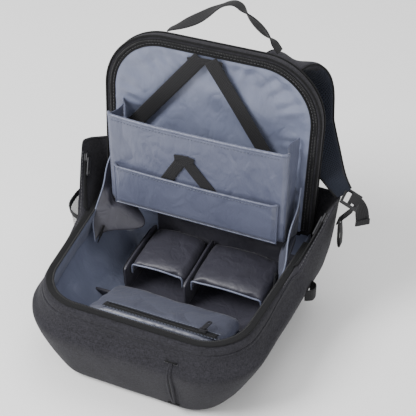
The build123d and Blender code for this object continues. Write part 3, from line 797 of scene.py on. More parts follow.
bm = gridSheet(160, 56, bowlPoint, closed=True)
bmesh.ops.remove_doubles(bm, verts=bm.verts, dist=0.05)
for face in bm.faces:
    # painted shade: the far wall and the floor of the long bays, which lie in shadow behind and under the covers, get
    # the darker divider cloth instead of the pale lining
    p = face.calc_center_median()
    if -86 < p.x < 122 and p.y > -22 and p.z < 106:
        face.material_index = 1
insertBowl = finishPiece(
    "insertLining", bm, [lining, dividerCloth], "tub",
    ("insert_floor_pad", "insert_left_pad", "insert_right_pad", "insert_top_pad", "insert_bottom_pad"),
    skin=1.6, smooth=1, offset=0)
print("insert ready")


# dividers: thin padded boards with rolled edges

def softBoard(name, low, high, node, material, body="tub", puff=0.7, cuts=14):
    bm = bmesh.new()
    bm.loops.layers.uv.new("flat")
    bmesh.ops.create_cube(bm, size=2)
    bmesh.ops.subdivide_edges(bm, edges=bm.edges, cuts=cuts, use_grid_fill=True)
    centre, half = (Vector(low) + Vector(high)) / 2, (Vector(high) - Vector(low)) / 2
    thin = min(range(3), key=lambda k: half[k])
    wide = [k for k in range(3) if k != thin]
    for v in bm.verts:
        a = v.co.copy()
        near = max(abs(a[wide[0]]), abs(a[wide[1]]))
        squeeze = 1 - 0.55 * clamp((near - 0.86) / 0.14) ** 2
        corner = abs(a[wide[0]]) ** 10 * abs(a[wide[1]]) ** 10
        p = Vector((a.x * half.x, a.y * half.y, a.z * half.z))
        p[thin] = a[thin] * half[thin] * squeeze
        p[wide[0]] -= (2.5 * corner) * (1 if a[wide[0]] > 0 else -1)
        p[wide[1]] -= (2.5 * corner) * (1 if a[wide[1]] > 0 else -1)
        p[thin] += puff * ripple(centre + p, 26, 3.7)
        v.co = centre + p
    bmesh.ops.recalc_face_normals(bm, faces=bm.faces)
    made = finishPiece(name, bm, material, body, (node,), smooth=1)
    return made


dividers = {"base": 14.6, "top": 60, "near": 4, "far": 107}
for label, x in (("Left", -84), ("Center", 5.5), ("Right", 120)):
    softBoard(
        "divider" + label, (x - 2.9, dividers["near"], dividers["base"]), (x + 2.9, dividers["far"], dividers["top"]),
        "divider_" + label.lower(), dividerCloth)
softBoard("dividerCross", (-128, -26.8, 14.6), (128, -21.2, 38), "divider_cross", dividerCloth)


# U-shaped covers over the long bays

covers = {
    "left": {"span": (-79, 1), "seed": 1.0},
    "right": {"span": (10, 115), "seed": 6.0},
    "near": 13, "far": 98, "top": 68, "pad": 6.5, "wing": 20, "crown": 5.0, "cap": 2.6,
}


def sectionLoop(span, wing, pad, crown, shrink):
    # closed section of a flap: over the top from one wing to the other, then back underneath
    low, high = span[0] + shrink, span[1] - shrink
    outer = [(low, -wing), (low, -wing * 0.5), (low + 0.6, -5.5), (low + 4.5, -1.5)]
    count = 12
    for i in range(1, count):
        x = mix(low + 4.5, high - 4.5, i / count)
        outer.append((x, -1.5 + (crown - 1.0) * sin(pi * i / count) ** 0.8))
    outer += [(high - 4.5, -1.5), (high - 0.6, -5.5), (high, -wing * 0.5), (high, -wing)]
    inner = [(high - pad * 0.8, -wing), (high - pad * 0.8, -wing * 0.5), (high - pad, -pad - 2.5)]
    for i in range(1, count):
        inner.append((mix(high - pad - 3, low + pad + 3, i / count), -pad - 1.5 + 0.5 * crown * sin(pi * i / count)))
    inner += [(low + pad, -pad - 2.5), (low + pad * 0.8, -wing * 0.5), (low + pad * 0.8, -wing)]
    return [Vector((x, 0, z)) for x, z in outer + inner]


def flapMesh(loop, depth, place):
    count = len(loop)

    def point(s, t):
        return place(loop[round(s * count) % count], t)

    return gridSheet(count, depth, point, closed=True, capped=True)


for side in ("left", "right"):
    spec = covers[side]
    loop = sectionLoop(spec["span"], covers["wing"], covers["pad"], covers["crown"], 1.2)

    def coverPoint(p, t):
        y = mix(covers["near"] + 1.2, covers["far"] - 1.2, t)
        droop = 2.0 * (1 - ease(t * 5)) + 1.6 * (1 - ease((1 - t) * 5))
        lean = 1.6 * ripple((p.x, y, p.z), 30, spec["seed"]) * clamp(-p.z / 18)
        z = covers["top"] - covers["crown"] + 1.2 + p.z - (droop if p.z > -8 else droop * 0.4)
        return Vector((p.x + lean, y + (0.12 * (-p.z) if t < 0.1 else 0), z))

    pad = finishPiece("cover" + side.title(), flapMesh(loop, 18, coverPoint), dividerCloth)
    puffUp(pad, covers["cap"])
    crumple(pad, 1.0, spec["seed"], 24)
    soften(pad)
    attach(pad, "cover_" + side)
    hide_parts("cover_" + side)
    lowX, highX = spec["span"]
    near = covers["near"]
    legs = ((2.2, 0.8, 45), (2.4, 0.6, 56), (4.5, 0.3, 61.5))
    hemLine = [Vector((lowX + x, near + y, z)) for x, y, z in legs]
    hemLine += [
        Vector((mix(lowX + 4.5, highX - 4.5, i / 10), near + 0.2, 61.5 + 2.6 * sin(pi * i / 10)))
        for i in range(1, 10)]
    hemLine += [Vector((highX - x, near + y, z)) for x, y, z in reversed(legs)]
    fine = [along(hemLine, i / 80) for i in range(81)]
    finishPiece("coverHem" + side.title(), tube(fine, 1.25, 8, up=Vector((0, 1, 0.01))), lining, "cover_" + side)
print("covers ready")


# the zip flap at the near end

flapPad = {
    "span": (-84, 104), "far": (-18, 58), "near": (-105, 96), "wing": 19, "pad": 7.5, "crown": 4.0, "cap": 2.6,
    "zip": (-58, 92), "zipInset": 15, "zipWidth": 13, "slider": 76,
}
flapRun = Vector((0, flapPad["near"][0] - flapPad["far"][0], flapPad["near"][1] - flapPad["far"][1]))
flapLong = flapRun.length
flapUp = Vector((0, flapRun.z, -flapRun.y)).normalized()


def onFlap(x, down, lift):
    # down from the raised edge towards the far edge, lift off its face
    return Vector((x, flapPad["near"][0], flapPad["near"][1])) - flapRun.normalized() * down + flapUp * lift


def flapPoint(p, t):
    down = mix(flapLong - 1.2, 1.2, t)
    droop = 1.6 * (1 - ease((1 - t) * 7)) + 1.2 * (1 - ease(t * 7))
    trough = 1.6 * bump(down, flapPad["zipInset"], 9) * (1 if p.z > -3 else 0)
    sway = 1.5 * ripple((p.x, down, p.z), 40, 9.1) * clamp(-p.z / 15)
    return onFlap(p.x + sway, down, p.z - flapPad["crown"] + 1.0 - (droop if p.z > -8 else 0) - trough)


loop = sectionLoop(flapPad["span"], flapPad["wing"] - 2, flapPad["pad"], flapPad["crown"], 1.2)
flapPiece = finishPiece("zipFlap", flapMesh(loop, 24, flapPoint), flapNylon)
puffUp(flapPiece, flapPad["cap"])
crumple(flapPiece, 0.9, 2.5, 28)
for v in flapPiece.data.vertices:
    # the face is pressed flat beside the zip
    local = v.co / millimetre - Vector((0, flapPad["near"][0], flapPad["near"][1]))
    down, lift = -local.dot(flapRun.normalized()), local.dot(flapUp)
    inSpan = ease((local.x - flapPad["zip"][0] + 14) / 12) * ease((flapPad["zip"][1] + 12 - local.x) / 10)
    press = bump(down, flapPad["zipInset"], 15) * inSpan
    if lift > -5 and press > 0:
        v.co = v.co - flapUp * max(0.0, lift + 1.4) * clamp(press * 1.6) * millimetre
soften(flapPiece)
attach(flapPiece, "zip_flap")
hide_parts("zip_flap")


def flapTapePoint(s, t):
    x = mix(flapPad["zip"][0] - 3, flapPad["zip"][1] + 3, t)
    down = flapPad["zipInset"] + (s - 0.5) * flapPad["zipWidth"]
    return onFlap(x, down, 0.35 - 0.7 * abs(2 * s - 1) ** 2 + 0.3 * sin(t * 9))


bm = gridSheet(6, 60, flapTapePoint, flat=(flapPad["zipWidth"], flapPad["zip"][1] - flapPad["zip"][0]))
finishPiece("flapZipTape", bm, zipCloth, "zip_flap", ("flap_zip_tape",), skin=0.7)
flapTeeth = {"tooth": (1.0, 2.4, 1.3), "pitch": 1.9}


def besideZip(shift, spare, lift):
    # two lines beside the flap's zip, spare longer than it at each end
    low, high = flapPad["zip"]
    return [[onFlap(x, flapPad["zipInset"] + k, lift) for x in (low - spare, high + spare)] for k in (-shift, shift)]


teeth(besideZip(1.05, -1, 0.75), flapTeeth, "flapZipTeeth", "zip_flap", flapUp)
stitchRun(besideZip(8.2, 4, 0.25), "flapStitching", threadPale, "zip_flap")
edgeLine = [onFlap(mix(flapPad["span"][0] + 3, flapPad["span"][1] - 3, i / 60), 0.4,
                   -4.6 + 0.7 * sin(i * 0.11) - 1.2 * (abs(i / 30 - 1) ** 8)) for i in range(61)]
finishPiece("flapHem", tube(edgeLine, 1.3, 8, up=flapUp), lining, "zip_flap")
print("zip flap ready")


# pale side wings between lid and tub

wing = {"x": 131, "corner": (15, 82), "edge": (48, 132), "hinge": (90.6, 124.5), "top": (99.8, 194.9), "fold": 9.0,
        "drape": {"left": 58, "right": 14}, "out": {"left": 9, "right": 2},
        "flat": {"left": (0.09, 0.1), "right": (0.08, 0.09)}}
for side, sign in (("left", -1), ("right", 1)):
    corner, bend, hinge, top = (Vector((0, *wing[k])) for k in ("corner", "edge", "hinge", "top"))

    def wingPoint(s, t, sign=sign, side=side):
        # s from the hinge out to the free edge, t from the tub to the lid
        free = along([corner, bend.lerp(corner.lerp(top, 0.5), 0.25), top], t)
        p = hinge.lerp(free, s) if s > 0.001 else hinge.copy()
        sag = wing["fold"] * sin(pi * clamp(t)) * s * (0.8 + 0.3 * sin(7 * t))
        slack = 3.2 * sin(9 * t + 2.5 * s) * s * sin(pi * clamp(t))
        slack += 1.6 * ripple((s * 60, t * 80, sign * 9), 16, 2.0) * s
        # spare cloth falls inward below the pocket
        spare = wing["drape"][side] * sin(pi * clamp(t / 0.62)) * sin(pi * s)
        out = wing["out"][side] * s * sin(pi * t)
        spot = Vector((wing["x"] + 2 + out - slack * 0.8 - spare, p.y + 0.5 * slack, p.z - 0.35 * sag - 0.42 * spare))
        if spot.x < 127.5 and spot.y > 40:
            spot.z = min(spot.z, 117.5)
        spot.x *= sign
        return spot

    bm = gridSheet(26, 44, wingPoint, flat=(80, 140))
    bmesh.ops.remove_doubles(bm, verts=bm.verts, dist=0.02)
    area = sum(f.calc_area() for f in bm.faces) * millimetre ** 2
    # painted shade: the left wing hangs in shadow and is given the darker divider cloth; the right wing keeps the
    # paler flap nylon
    cloth = dividerCloth if side == "left" else flapNylon
    piece = finishPiece(
        "sideWing" + side.title(), bm, cloth, None, ("gusset_" + side,), skin=0.9, smooth=1)
    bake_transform(piece)
    hem = tube([wingPoint(1.0, i / 60) for i in range(61)], 1.1, 8, up=Vector((1, 0, 0.01)))
    piece = finishPiece("wingHem" + side.title(), hem, lining, None)
    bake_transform(piece)
    print("wing", side, round(area, 4))

patches = []
for sign in (-1, 1):
    def patchPoint(s, t, sign=sign):
        a, b, c = Vector((0, 15, 82)), Vector((0, 39, 95)), Vector((0, 29, 104))
        p = a.lerp(b.lerp(c, s), t)
        return Vector((sign * (128.6 - 2.5 * t), p.y, p.z))
    patches.append(gridSheet(4, 6, patchPoint, flat=(18, 26)))
finishPiece("wingPatches", joinMeshes(patches), webbing, "tub", ("gusset_patches",), skin=1.0)
print("wings ready")


# lid, drawn across (u), up (v) and off its inner face (n)

lid = {
    "hinge": (0, 94, 120), "lean": 7.5, "half": 145, "length": 236, "corner": 78, "foot": 2, "edge": 5,
    "front": -1.2, "back": -15.4,
}
leanTurn = radians(lid["lean"])
lidUp = Vector((0, sin(leanTurn), cos(leanTurn)))
lidIn = Vector((0, -cos(leanTurn), sin(leanTurn)))


def onLid(u, v, n):
    return Vector(lid["hinge"]) + Vector((u, 0, 0)) + lidUp * v + lidIn * n


def lidLoop(grow, count=200, low=None):
    # the lid's outline, evenly spaced, from the middle of its foot round to the right
    half, top, low = lid["half"] + grow, lid["length"] + grow, lid["foot"] if low is None else low
    radius = max(lid["corner"] + grow, 8)
    points = [Vector((0, low)), Vector((half - 5, low)), Vector((half - 1.5, low + 1.5)), Vector((half, low + 5))]
    for centre, start in ((half - radius, 0), (radius - half, 90)):
        arc = [radians(start + 90 * i / 18) for i in range(19)]
        points += [Vector((centre + radius * cos(a), top - radius + radius * sin(a))) for a in arc]
    points += [Vector((-half, low + 5)), Vector((1.5 - half, low + 1.5)), Vector((5 - half, low)), Vector((0, low))]
    lengths = [0.0]
    for a, b in zip(points, points[1:]):
        lengths.append(lengths[-1] + (b - a).length)
    spaced, k = [], 0
    for i in range(count):
        goal = lengths[-1] * i / count
        while lengths[k + 1] < goal:
            k += 1
        spaced.append(points[k].lerp(points[k + 1], (goal - lengths[k]) / (lengths[k + 1] - lengths[k])))
    return spaced


lidRows = (
    (("scale", 0.0), -15.0), (("scale", 0.5), -15.4), (("scale", 0.9), -15.8), (("grow", -4), -15.9),
    (("grow", 1.5), -15.7), (("grow", 4.2), -14.6), (("grow", 5.2), -12.0), (("grow", 5.4), -8.5),
    (("grow", 5.2), -5.0), (("grow", 4.4), -2.4), (("grow", 2.2), -1.3), (("grow", 0.2), -2.2), (("grow", -2), -2.8), (("grow", -10), -3.2),
    (("grow", -14), -8.5), (("scale", 0.5), -9.0), (("scale", 0.0), -9.0),
)
lidLoops = {kind: lidLoop(kind[1] if kind[0] == "grow" else 0) for kind, n in lidRows}


def lidShellPoint(s, t):
    kind, n = lidRows[round(t * (len(lidRows) - 1))]
    spot = lidLoops[kind][round(s * 200) % 200]
    if kind[0] == "scale":
        spot = Vector((0, 118)).lerp(spot, kind[1])
    wave = 0.5 * ripple((spot.x, spot.y, n), 35, 4) if kind[0] == "grow" else 0
    return onLid(spot.x, spot.y, n + wave)


bm = gridSheet(200, len(lidRows) - 1, lidShellPoint, closed=True)
bmesh.ops.remove_doubles(bm, verts=bm.verts, dist=0.02)
bmesh.ops.recalc_face_normals(bm, faces=bm.faces)
lidShell = finishPiece(
    "lidShell", bm, charcoal, "lid", ("lid_panel", "lid_binding"), smooth=1)

pipes = []
for grow, n in ((4.6, -1.9), (4.6, -15.2)):
    pipes.append(tube([onLid(p.x, p.y, n) for p in lidLoop(grow, 260)], 1.7, 10, closed=True, up=lidIn))
finishPiece("lidPiping", joinMeshes(pipes), charcoalDeep, "lid")


def openLoop(grow, count=240):
    # the outline without its foot, from the right end of the foot round to the left
    loop = lidLoop(grow, count)
    return [p for p in loop if not (p.y < 6 and abs(p.x) < lid["half"] + grow - 0.5)]


def lidTapePoint(s, t):
    line = lidTapeLines[round(s * 6)]
    p = along(line, t)
    lift = -1.0 + 1.6 * sin(pi * min(1, s * 1.15)) + 0.25 * sin(t * 90)
    return onLid(p.x, p.y, lift - 1.7)


lidTapeLines = [openLoop(mix(1.2, -7.0, i / 6)) for i in range(7)]
bm = gridSheet(6, 300, lidTapePoint, flat=(10.6, 700))
finishPiece("lidZipTape", bm, zipCloth, "lid", ("lid_zip_tape",), skin=0.8)
lidTeeth = {"tooth": (1.1, 2.4, 1.4), "pitch": 2.1}
teeth([[onLid(p.x, p.y, -1.4) for p in openLoop(-1.6)]], lidTeeth, "lidZipTeeth", "lid", lidIn)
stitchRun([[onLid(p.x, p.y, -1.6) for p in openLoop(-5.4)]], "lidTapeStitching", threadGrey, "lid")
bindLine = [onLid(p.x, p.y, -0.9) for p in openLoop(-7.6)]
finishPiece("liningCord", tube(bindLine, 1.3, 8, up=lidIn), charcoalDeep, "lid")


# pale lining, gathered at its edge and creased where the straps pull
liningSpec = {"inset": -7.4, "gather": 1.3, "deep": 8.0}
liningLoop = lidLoop(liningSpec["inset"], 200)


def liningPoint(s, t):
    edge = liningLoop[round(s * 200) % 200]
    p = Vector((0, 122)).lerp(edge, t)
    out = (edge - Vector((0, 122))).normalized()
    rim = bump(t, 0.84, 0.2)
    radial = sin(s * 2 * pi * 34 + 3 * ripple((edge.x, edge.y, 0), 30)) * liningSpec["gather"] * rim
    lean = Vector((p.x * 0.55 + p.y * 0.55, p.y * 0.25 - p.x * 0.25, 0))
    other = Vector((p.x * 0.6 - p.y * 0.5, p.y * 0.25 + p.x * 0.25, 7))
    side = clamp(0.5 + p.x / 120)
    folds = ease(0.5 + 1.1 * mix(ripple(other, 27, 6), ripple(lean, 27, 4), side))
    broad = 0.5 + 0.5 * ripple((p.x, p.y, 3), 48, 2.6)
    depth = (broad * 0.5 + folds * 0.5) * liningSpec["deep"] * ease((1 - t) * 6)
    return onLid(p.x, p.y, -0.7 - depth + radial - 0.9 * ease((t - 0.94) * 16))


bm = gridSheet(200, 44, liningPoint, closed=True)
bmesh.ops.remove_doubles(bm, verts=bm.verts, dist=0.05)
area = sum(f.calc_area() for f in bm.faces) * millimetre ** 2
lidLining = finishPiece("lidLining", bm, lining, "lid", ("lid_lining",), skin=0.6, smooth=1, offset=-1)
print("lid ready", round(area, 4))


# pockets on the lid

pocket = {
    "half": 125, "height": 140, "low": 36.5, "high": 47.0, "thick": 3.0, "slipHalf": 117, "slipHeight": 66, "gap": 8.0,
}


def frontFace(v):
    return mix(pocket["low"], pocket["high"], (v - 2) / (pocket["height"] - 2))


def pocketPoint(s, t):
    u = mix(-pocket["half"], pocket["half"], s)
    v = mix(3.5, pocket["height"], t)
    edge = abs(2 * s - 1)
    # the corners turn back to meet the gussets, the mouth dips a little in its middle
    v -= 3.0 * t ** 4 * (1 - (2 * s - 1) ** 2)
    n = frontFace(v) - 1.0 - 5.0 * clamp((edge - 0.955) / 0.045) ** 2
    n += 1.8 * (1 - edge ** 2) * sin(pi * clamp(t)) + 2.2 * (1 - s) * t ** 3 * (1 - edge ** 6)
    n += 0.9 * ripple((u * 0.5, v, 0), 42, 3.3) * (1 - edge ** 8) + 0.35 * ripple((u, v, 0), 15, 1.3)
    n -= 4.5 * (1 - ease(t * 14))
    return onLid(u, v, n)


bm = gridSheet(110, 60, pocketPoint, flat=(250, 137))
pocketFront = finishPiece(
    "pocketFront", bm, shadedPocketNylon, "lid", ("pocket_front",), skin=pocket["thick"], smooth=1, offset=0)
mouth = [pocketPoint(i / 90, 1.0) + lidUp * 0.4 for i in range(91)]
finishPiece("pocketHem", tube(mouth, 2.3, 10, up=lidIn), shadedPocketNylon, "lid")
sideSeams = []
for s in (0.008, 0.992):
    sideSeams.append(tube([pocketPoint(s, i / 60) + lidIn * 1.0 for i in range(61)], 1.25, 8, up=lidIn))
finishPiece("pocketSeams", joinMeshes(sideSeams), shadedPocketNylon, "lid")
stitchRun(
    [[pocketPoint(i / 60, 0.962) + lidIn * 1.75 for i in range(2, 59)]], "pocketStitching", threadPale, "lid")

gussetParts = []
for sign in (-1, 1):
    def pocketSide(s, t, sign=sign):
        # s from the lining out to the front, t up; it folds inward a little in its middle
        v = mix(3, pocket["height"] - 0.5, t)
        n = mix(-0.2, frontFace(v) - 5.5, s)
        tuck = (2.0 + 5.5 * t ** 2) * sin(pi * s) + 0.8 * ripple((n, v, sign * 20), 14, 5)
        rise = 5.0 * t ** 6 * (1 - s)
        return onLid(sign * (pocket["half"] - 0.5 - tuck), v + rise, n)
    gussetParts.append(gridSheet(16, 44, pocketSide, flat=(44, 138)))


def pocketFloor(s, t):
    u = mix(-pocket["half"] + 2, pocket["half"] - 2, s)
    return onLid(u, 3.2 + 0.7 * ripple((u, t * 40, 0), 20), mix(0, frontFace(3) - 5.5, t))


gussetParts.append(gridSheet(60, 10, pocketFloor, flat=(246, 36)))
finishPiece(
    "pocketGussets", joinMeshes(gussetParts), shadedPocketNylon, "lid", ("pocket_gussets", "pocket_bottom"),
    skin=1.1, smooth=1)


def slipPoint(s, t):
    u = mix(-pocket["slipHalf"], pocket["slipHalf"], s)
    v = mix(4.5, pocket["slipHeight"], t)
    edge = abs(2 * s - 1)
    side = 1 - ease((edge - 0.93) / 0.07)
    foot = ease(t * 9)
    v -= 2.0 * t ** 4 * (1 - edge ** 2)
    lift = 2.8 + (pocket["gap"] - 2.4) * side * foot * (0.55 + 0.45 * t)
    lift += 0.8 * ripple((u * 0.6, v, 4), 34, 8.8) * side * foot
    return onLid(u, v, frontFace(v) + lift)


bm = gridSheet(100, 36, slipPoint, flat=(234, 62))
slip = finishPiece("slipPocket", bm, shadedPocketNylon, "lid", ("slip_pocket",), skin=1.6, smooth=1, offset=-1)
finishPiece(
    "slipHem", tube([slipPoint(i / 90, 1.0) - lidIn * 0.6 for i in range(91)], 1.7, 10, up=lidIn), shadedPocketNylon, "lid")
slipSeams = [tube([slipPoint(s, i / 40) for i in range(41)], 1.1, 8, up=lidIn) for s in (0.004, 0.996)]
slipSeams.append(tube([slipPoint(i / 90, 0.0) for i in range(91)], 1.1, 8, up=lidIn))
finishPiece("slipSeams", joinMeshes(slipSeams), shadedPocketNylon, "lid")
stitchRun([[slipPoint(i / 60, 0.93) + lidIn * 0.35 for i in range(2, 59)]], "slipStitching", threadPale, "lid")
print("pockets ready")


# webbing on the lining and on the pocket

straps = {"width": 20, "thick": 1.5, "left": ((-14, 224), (-120, 94)), "right": ((0, 224), (96, 92))}
for side in ("left", "right"):
    (u0, v0), (u1, v1) = straps[side]
    layer = 1.2 if side == "left" else 2.6
    route = []
    for i in range(9):
        share = i / 8
        bow = 1.3 * sin(pi * share) + 0.6 * sin(7 * share + (0 if side == "left" else 2))
        route.append(onLid(mix(u0, u1, share), mix(v0, v1, share), layer + bow + 6 * ease((share - 0.8) * 5)))
    tilt = 0.0875 * (1 if side == "left" else -1)
    bm = band(
        route, straps["width"], lambda t: (lidIn + Vector((tilt * sin(3 * t), 0, 0))).normalized(), columns=6,
        rows=60, crown=0.5)
    finishPiece(
        "liningStrap" + side.title(), bm, webbing, "lid", ("lid_strap_" + side,),
        skin=straps["thick"], smooth=1)
cover = [onLid(u, 221 - 0.0035 * u * u, 2.2 - abs(u + 8) * 0.02) for u in (-32, -20, -8, 4, 16)]
finishPiece("strapAnchor", band(cover, 9, lidIn, 4, 30), webbing, "lid", skin=1.4, smooth=1)

smallV = []
for foot, layer in (((-44, 54), 0.0), ((37, 47), 0.5)):
    route = []
    for i in range(7):
        share = i / 6
        u, v = mix(-14, foot[0], share), mix(103, foot[1], share)
        route.append(onLid(u, v, frontFace(v) + 3.1 + layer + 0.8 * sin(pi * share)))
    smallV.append(band(route, 16, lidIn, 5, 40, crown=0.3))
top = [onLid(-13 + d, 103 - abs(d) * 0.12, frontFace(103) + 3.9) for d in (-14, -7, 0, 7, 14)]
smallV.append(band(top, 9, lidIn, 4, 20))
finishPiece("pocketStrap", joinMeshes(smallV), webbing, "lid", ("pocket_strap",), skin=1.3, smooth=1)
print("webbing ready")


# harness on the outside of the lid: yoke, back pads, shoulder straps, grab handle

yokeSpec = {"low": 160, "inset": -3, "count": 160}
yokeRows = (
    (0.0, -16.4), (0.6, -16.4), (0.94, -16.6), (1.0, -18.4), (1.012, -22.0), (1.01, -26.0), (0.985, -29.8),
    (0.93, -32.2), (0.8, -33.4), (0.6, -34.0), (0.35, -34.3), (0.0, -34.4),
)
yokeLoop = lidLoop(yokeSpec["inset"], yokeSpec["count"], yokeSpec["low"])


def yokePoint(s, t):
    scale, n = yokeRows[round(t * (len(yokeRows) - 1))]
    centre = Vector((0, 196))
    spot = centre.lerp(yokeLoop[round(s * yokeSpec["count"]) % yokeSpec["count"]], scale)
    outside = clamp((-n - 20) / 12)
    seam = 1.6 * bump(abs(spot.x), 46, 4) * outside
    puff = outside * (0.9 * ripple((spot.x, spot.y, n), 36, 5.1) + 0.4 * ripple((spot.x, spot.y, n), 14, 2))
    return onLid(spot.x, spot.y, n + seam - puff)


bm = gridSheet(yokeSpec["count"], len(yokeRows) - 1, yokePoint, closed=True)
bmesh.ops.remove_doubles(bm, verts=bm.verts, dist=0.02)
bmesh.ops.recalc_face_normals(bm, faces=bm.faces)
yokePiece = finishPiece("yokePad", bm, charcoal, "lid", ("yoke",), smooth=1)
seamRing = [onLid(p.x, p.y, -18.0) for p in lidLoop(-2.2, 200, 158)]
finishPiece("yokePiping", tube(seamRing, 1.3, 8, closed=True, up=lidIn), charcoalDeep, "lid")

backPads = {"size": (84, 96), "across": 62, "low": 62, "corner": 22, "cap": 3.0, "channels": (94, 126)}
padRows = (
    (0.0, -17.2), (0.7, -17.2), (0.98, -17.6), (1.0, -20.5), (0.97, -25.0), (0.88, -28.4), (0.6, -29.0), (0.0, -29.2))


def roundedLoop(centre, width, height, radius, count):
    points = []
    for k, (x, y) in enumerate(((1, 1), (-1, 1), (-1, -1), (1, -1))):
        middle = Vector((centre[0] + x * (width / 2 - radius), centre[1] + y * (height / 2 - radius)))
        for i in range(count // 4):
            a = radians(90 * k + 90 * i / (count // 4 - 1))
            points.append(middle + Vector((cos(a), sin(a))) * radius)
    return points


for side, sign in (("Left", -1), ("Right", 1)):
    centre = Vector((sign * backPads["across"], backPads["low"] + backPads["size"][1] / 2))
    loops = roundedLoop(centre, backPads["size"][0] - 2, backPads["size"][1] - 2, backPads["corner"], 64)

    def padPoint(s, t):
        scale, n = padRows[round(t * (len(padRows) - 1))]
        spot = centre.lerp(loops[round(s * 64) % 64], scale)
        return onLid(spot.x, spot.y, n)

    bm = gridSheet(64, len(padRows) - 1, padPoint, flat=(300, 120), closed=True)
    bmesh.ops.remove_doubles(bm, verts=bm.verts, dist=0.02)
    bmesh.ops.recalc_face_normals(bm, faces=bm.faces)
    pad = finishPiece("backPad" + side, bm, airMesh)
    puffUp(pad, backPads["cap"])
    uv = pad.data.uv_layers.get("flat") or pad.data.uv_layers.new(name="flat")
    for loop in pad.data.loops:
        p = pad.data.vertices[loop.vertex_index].co
        uv.data[loop.index].uv = (p.x, p.z)
    for v in pad.data.vertices:
        # two stitched channels across each pad
        p = v.co / millimetre - Vector(lid["hinge"])
        height, off = p.dot(lidUp), p.dot(lidIn)
        if off < -21:
            v.co = v.co + lidIn * millimetre * 3.2 * sum(bump(height, at, 5) for at in backPads["channels"])
    soften(pad)
    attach(pad, "lid")
    if side == "Left":
        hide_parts("back_pads")
print("back ready")

shoulder = {
    "right": ((70, 208, -26, 50, 9), (86, 219, -39, 57, 12), (104, 214, -52, 60, 12), (112, 186, -64, 62, 12),
              (118, 130, -68, 60, 12),
              (146, 98, -44, 44, 9), (172, 84, -18, 27, 5), (188, 74, -7, 20, 2.2)),
    "left": ((-82, 196, -26, 48, 9), (-91, 207, -40, 54, 12), (-100, 200, -52, 58, 12), (-104, 178, -63, 60, 12),
             (-108, 130, -68, 60, 12),
             (-122, 86, -66, 46, 9), (-134, 60, -62, 27, 5), (-139, 36, -66, 20, 2.2)),
    "rows": 70, "sides": 32,
}
for side in ("left", "right"):
    stops = [onLid(*stop[:3]) for stop in shoulder[side]]
    sizes = [Vector((stop[3], stop[4], 0)) for stop in shoulder[side]]
    rows = shoulder["rows"]
    line = [along(stops, i / rows) for i in range(rows + 1)]
    frames = pathFrames(line, Vector((0, 1, 0.001)))

    def strapSpot(turn, t, grow=0.0):
        p, run, _ = frames[round(t * rows)]
        across = (Vector((1, 0, 0)) - run * run.x).normalized()
        lift = run.cross(across).normalized()
        size = along(sizes, t)
        a = 2 * pi * turn
        flatness = abs(sin(a)) ** 0.62 * (1 if sin(a) > 0 else -1)
        puff = 0.4 * ripple(p + across * cos(a) * 20, 24, 3)
        return p + across * cos(a) * (size.x / 2 + grow) + lift * flatness * (size.y / 2 + puff * clamp(size.y / 12))

    bm = gridSheet(shoulder["sides"], rows, strapSpot, flat=(120, 250), closed=True, capped=True)
    for face in bm.faces:
        middle = face.calc_center_median()
        face.material_index = 1 if face.normal.dot(lidIn) > 0.25 and 176 < middle.z < 332 else 0
    strap = finishPiece(
        "shoulderStrap" + side.title(), bm, [charcoal, airMesh], None, ("shoulder_strap_" + side,),
        smooth=1)
    low, high = onLid(*shoulder[side][-1][:3]), onLid(*shoulder[side][1][:3])
    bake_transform(strap)
    edges = [
        tube([strapSpot(turn, i / rows, 0.6) for i in range(1, rows)], 1.2, 8, up=Vector((0, 1, 0.001)))
        for turn in (0.0, 0.5)]
    trim = finishPiece("strapBinding" + side.title(), joinMeshes(edges), charcoalDeep, None)
    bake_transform(trim)
print("shoulder straps ready")

handle = {
    "route": ((-71, 240.5), (-52, 251), (-30, 264), (-8, 280), (9, 290.5), (22, 291), (38, 278), (58, 262), (72, 250),
              (80, 240.5)),
    "width": 18, "off": -28,
}
handleStops = [onLid(u, v, handle["off"]) for u, v in handle["route"]]


def handleFace(t):
    # the strap twists a little in both legs
    twist = 0.5 * bump(t, 0.2, 0.2) - 1.0 * bump(t, 0.74, 0.16)
    lean = Vector((mix(-0.6, 0.7, clamp(t)), 0, 0))
    return (lidUp + lean + lidIn * twist * 1.6).normalized()


bm = band(handleStops, handle["width"], handleFace, columns=6, rows=110, crown=0.6)
finishPiece("grabHandle", bm, webbing, "handle", ("handle",), skin=2.2, smooth=1)
print("handle ready")


# ladder locks, their tabs and tails, loops and the bottle pocket

def basis(origin, xDir, zDir):
    x, z = Vector(xDir).normalized(), Vector(zDir).normalized()
    return Matrix.Translation(Vector(origin)) @ Matrix((x, z.cross(x), z)).transposed().to_4x4()


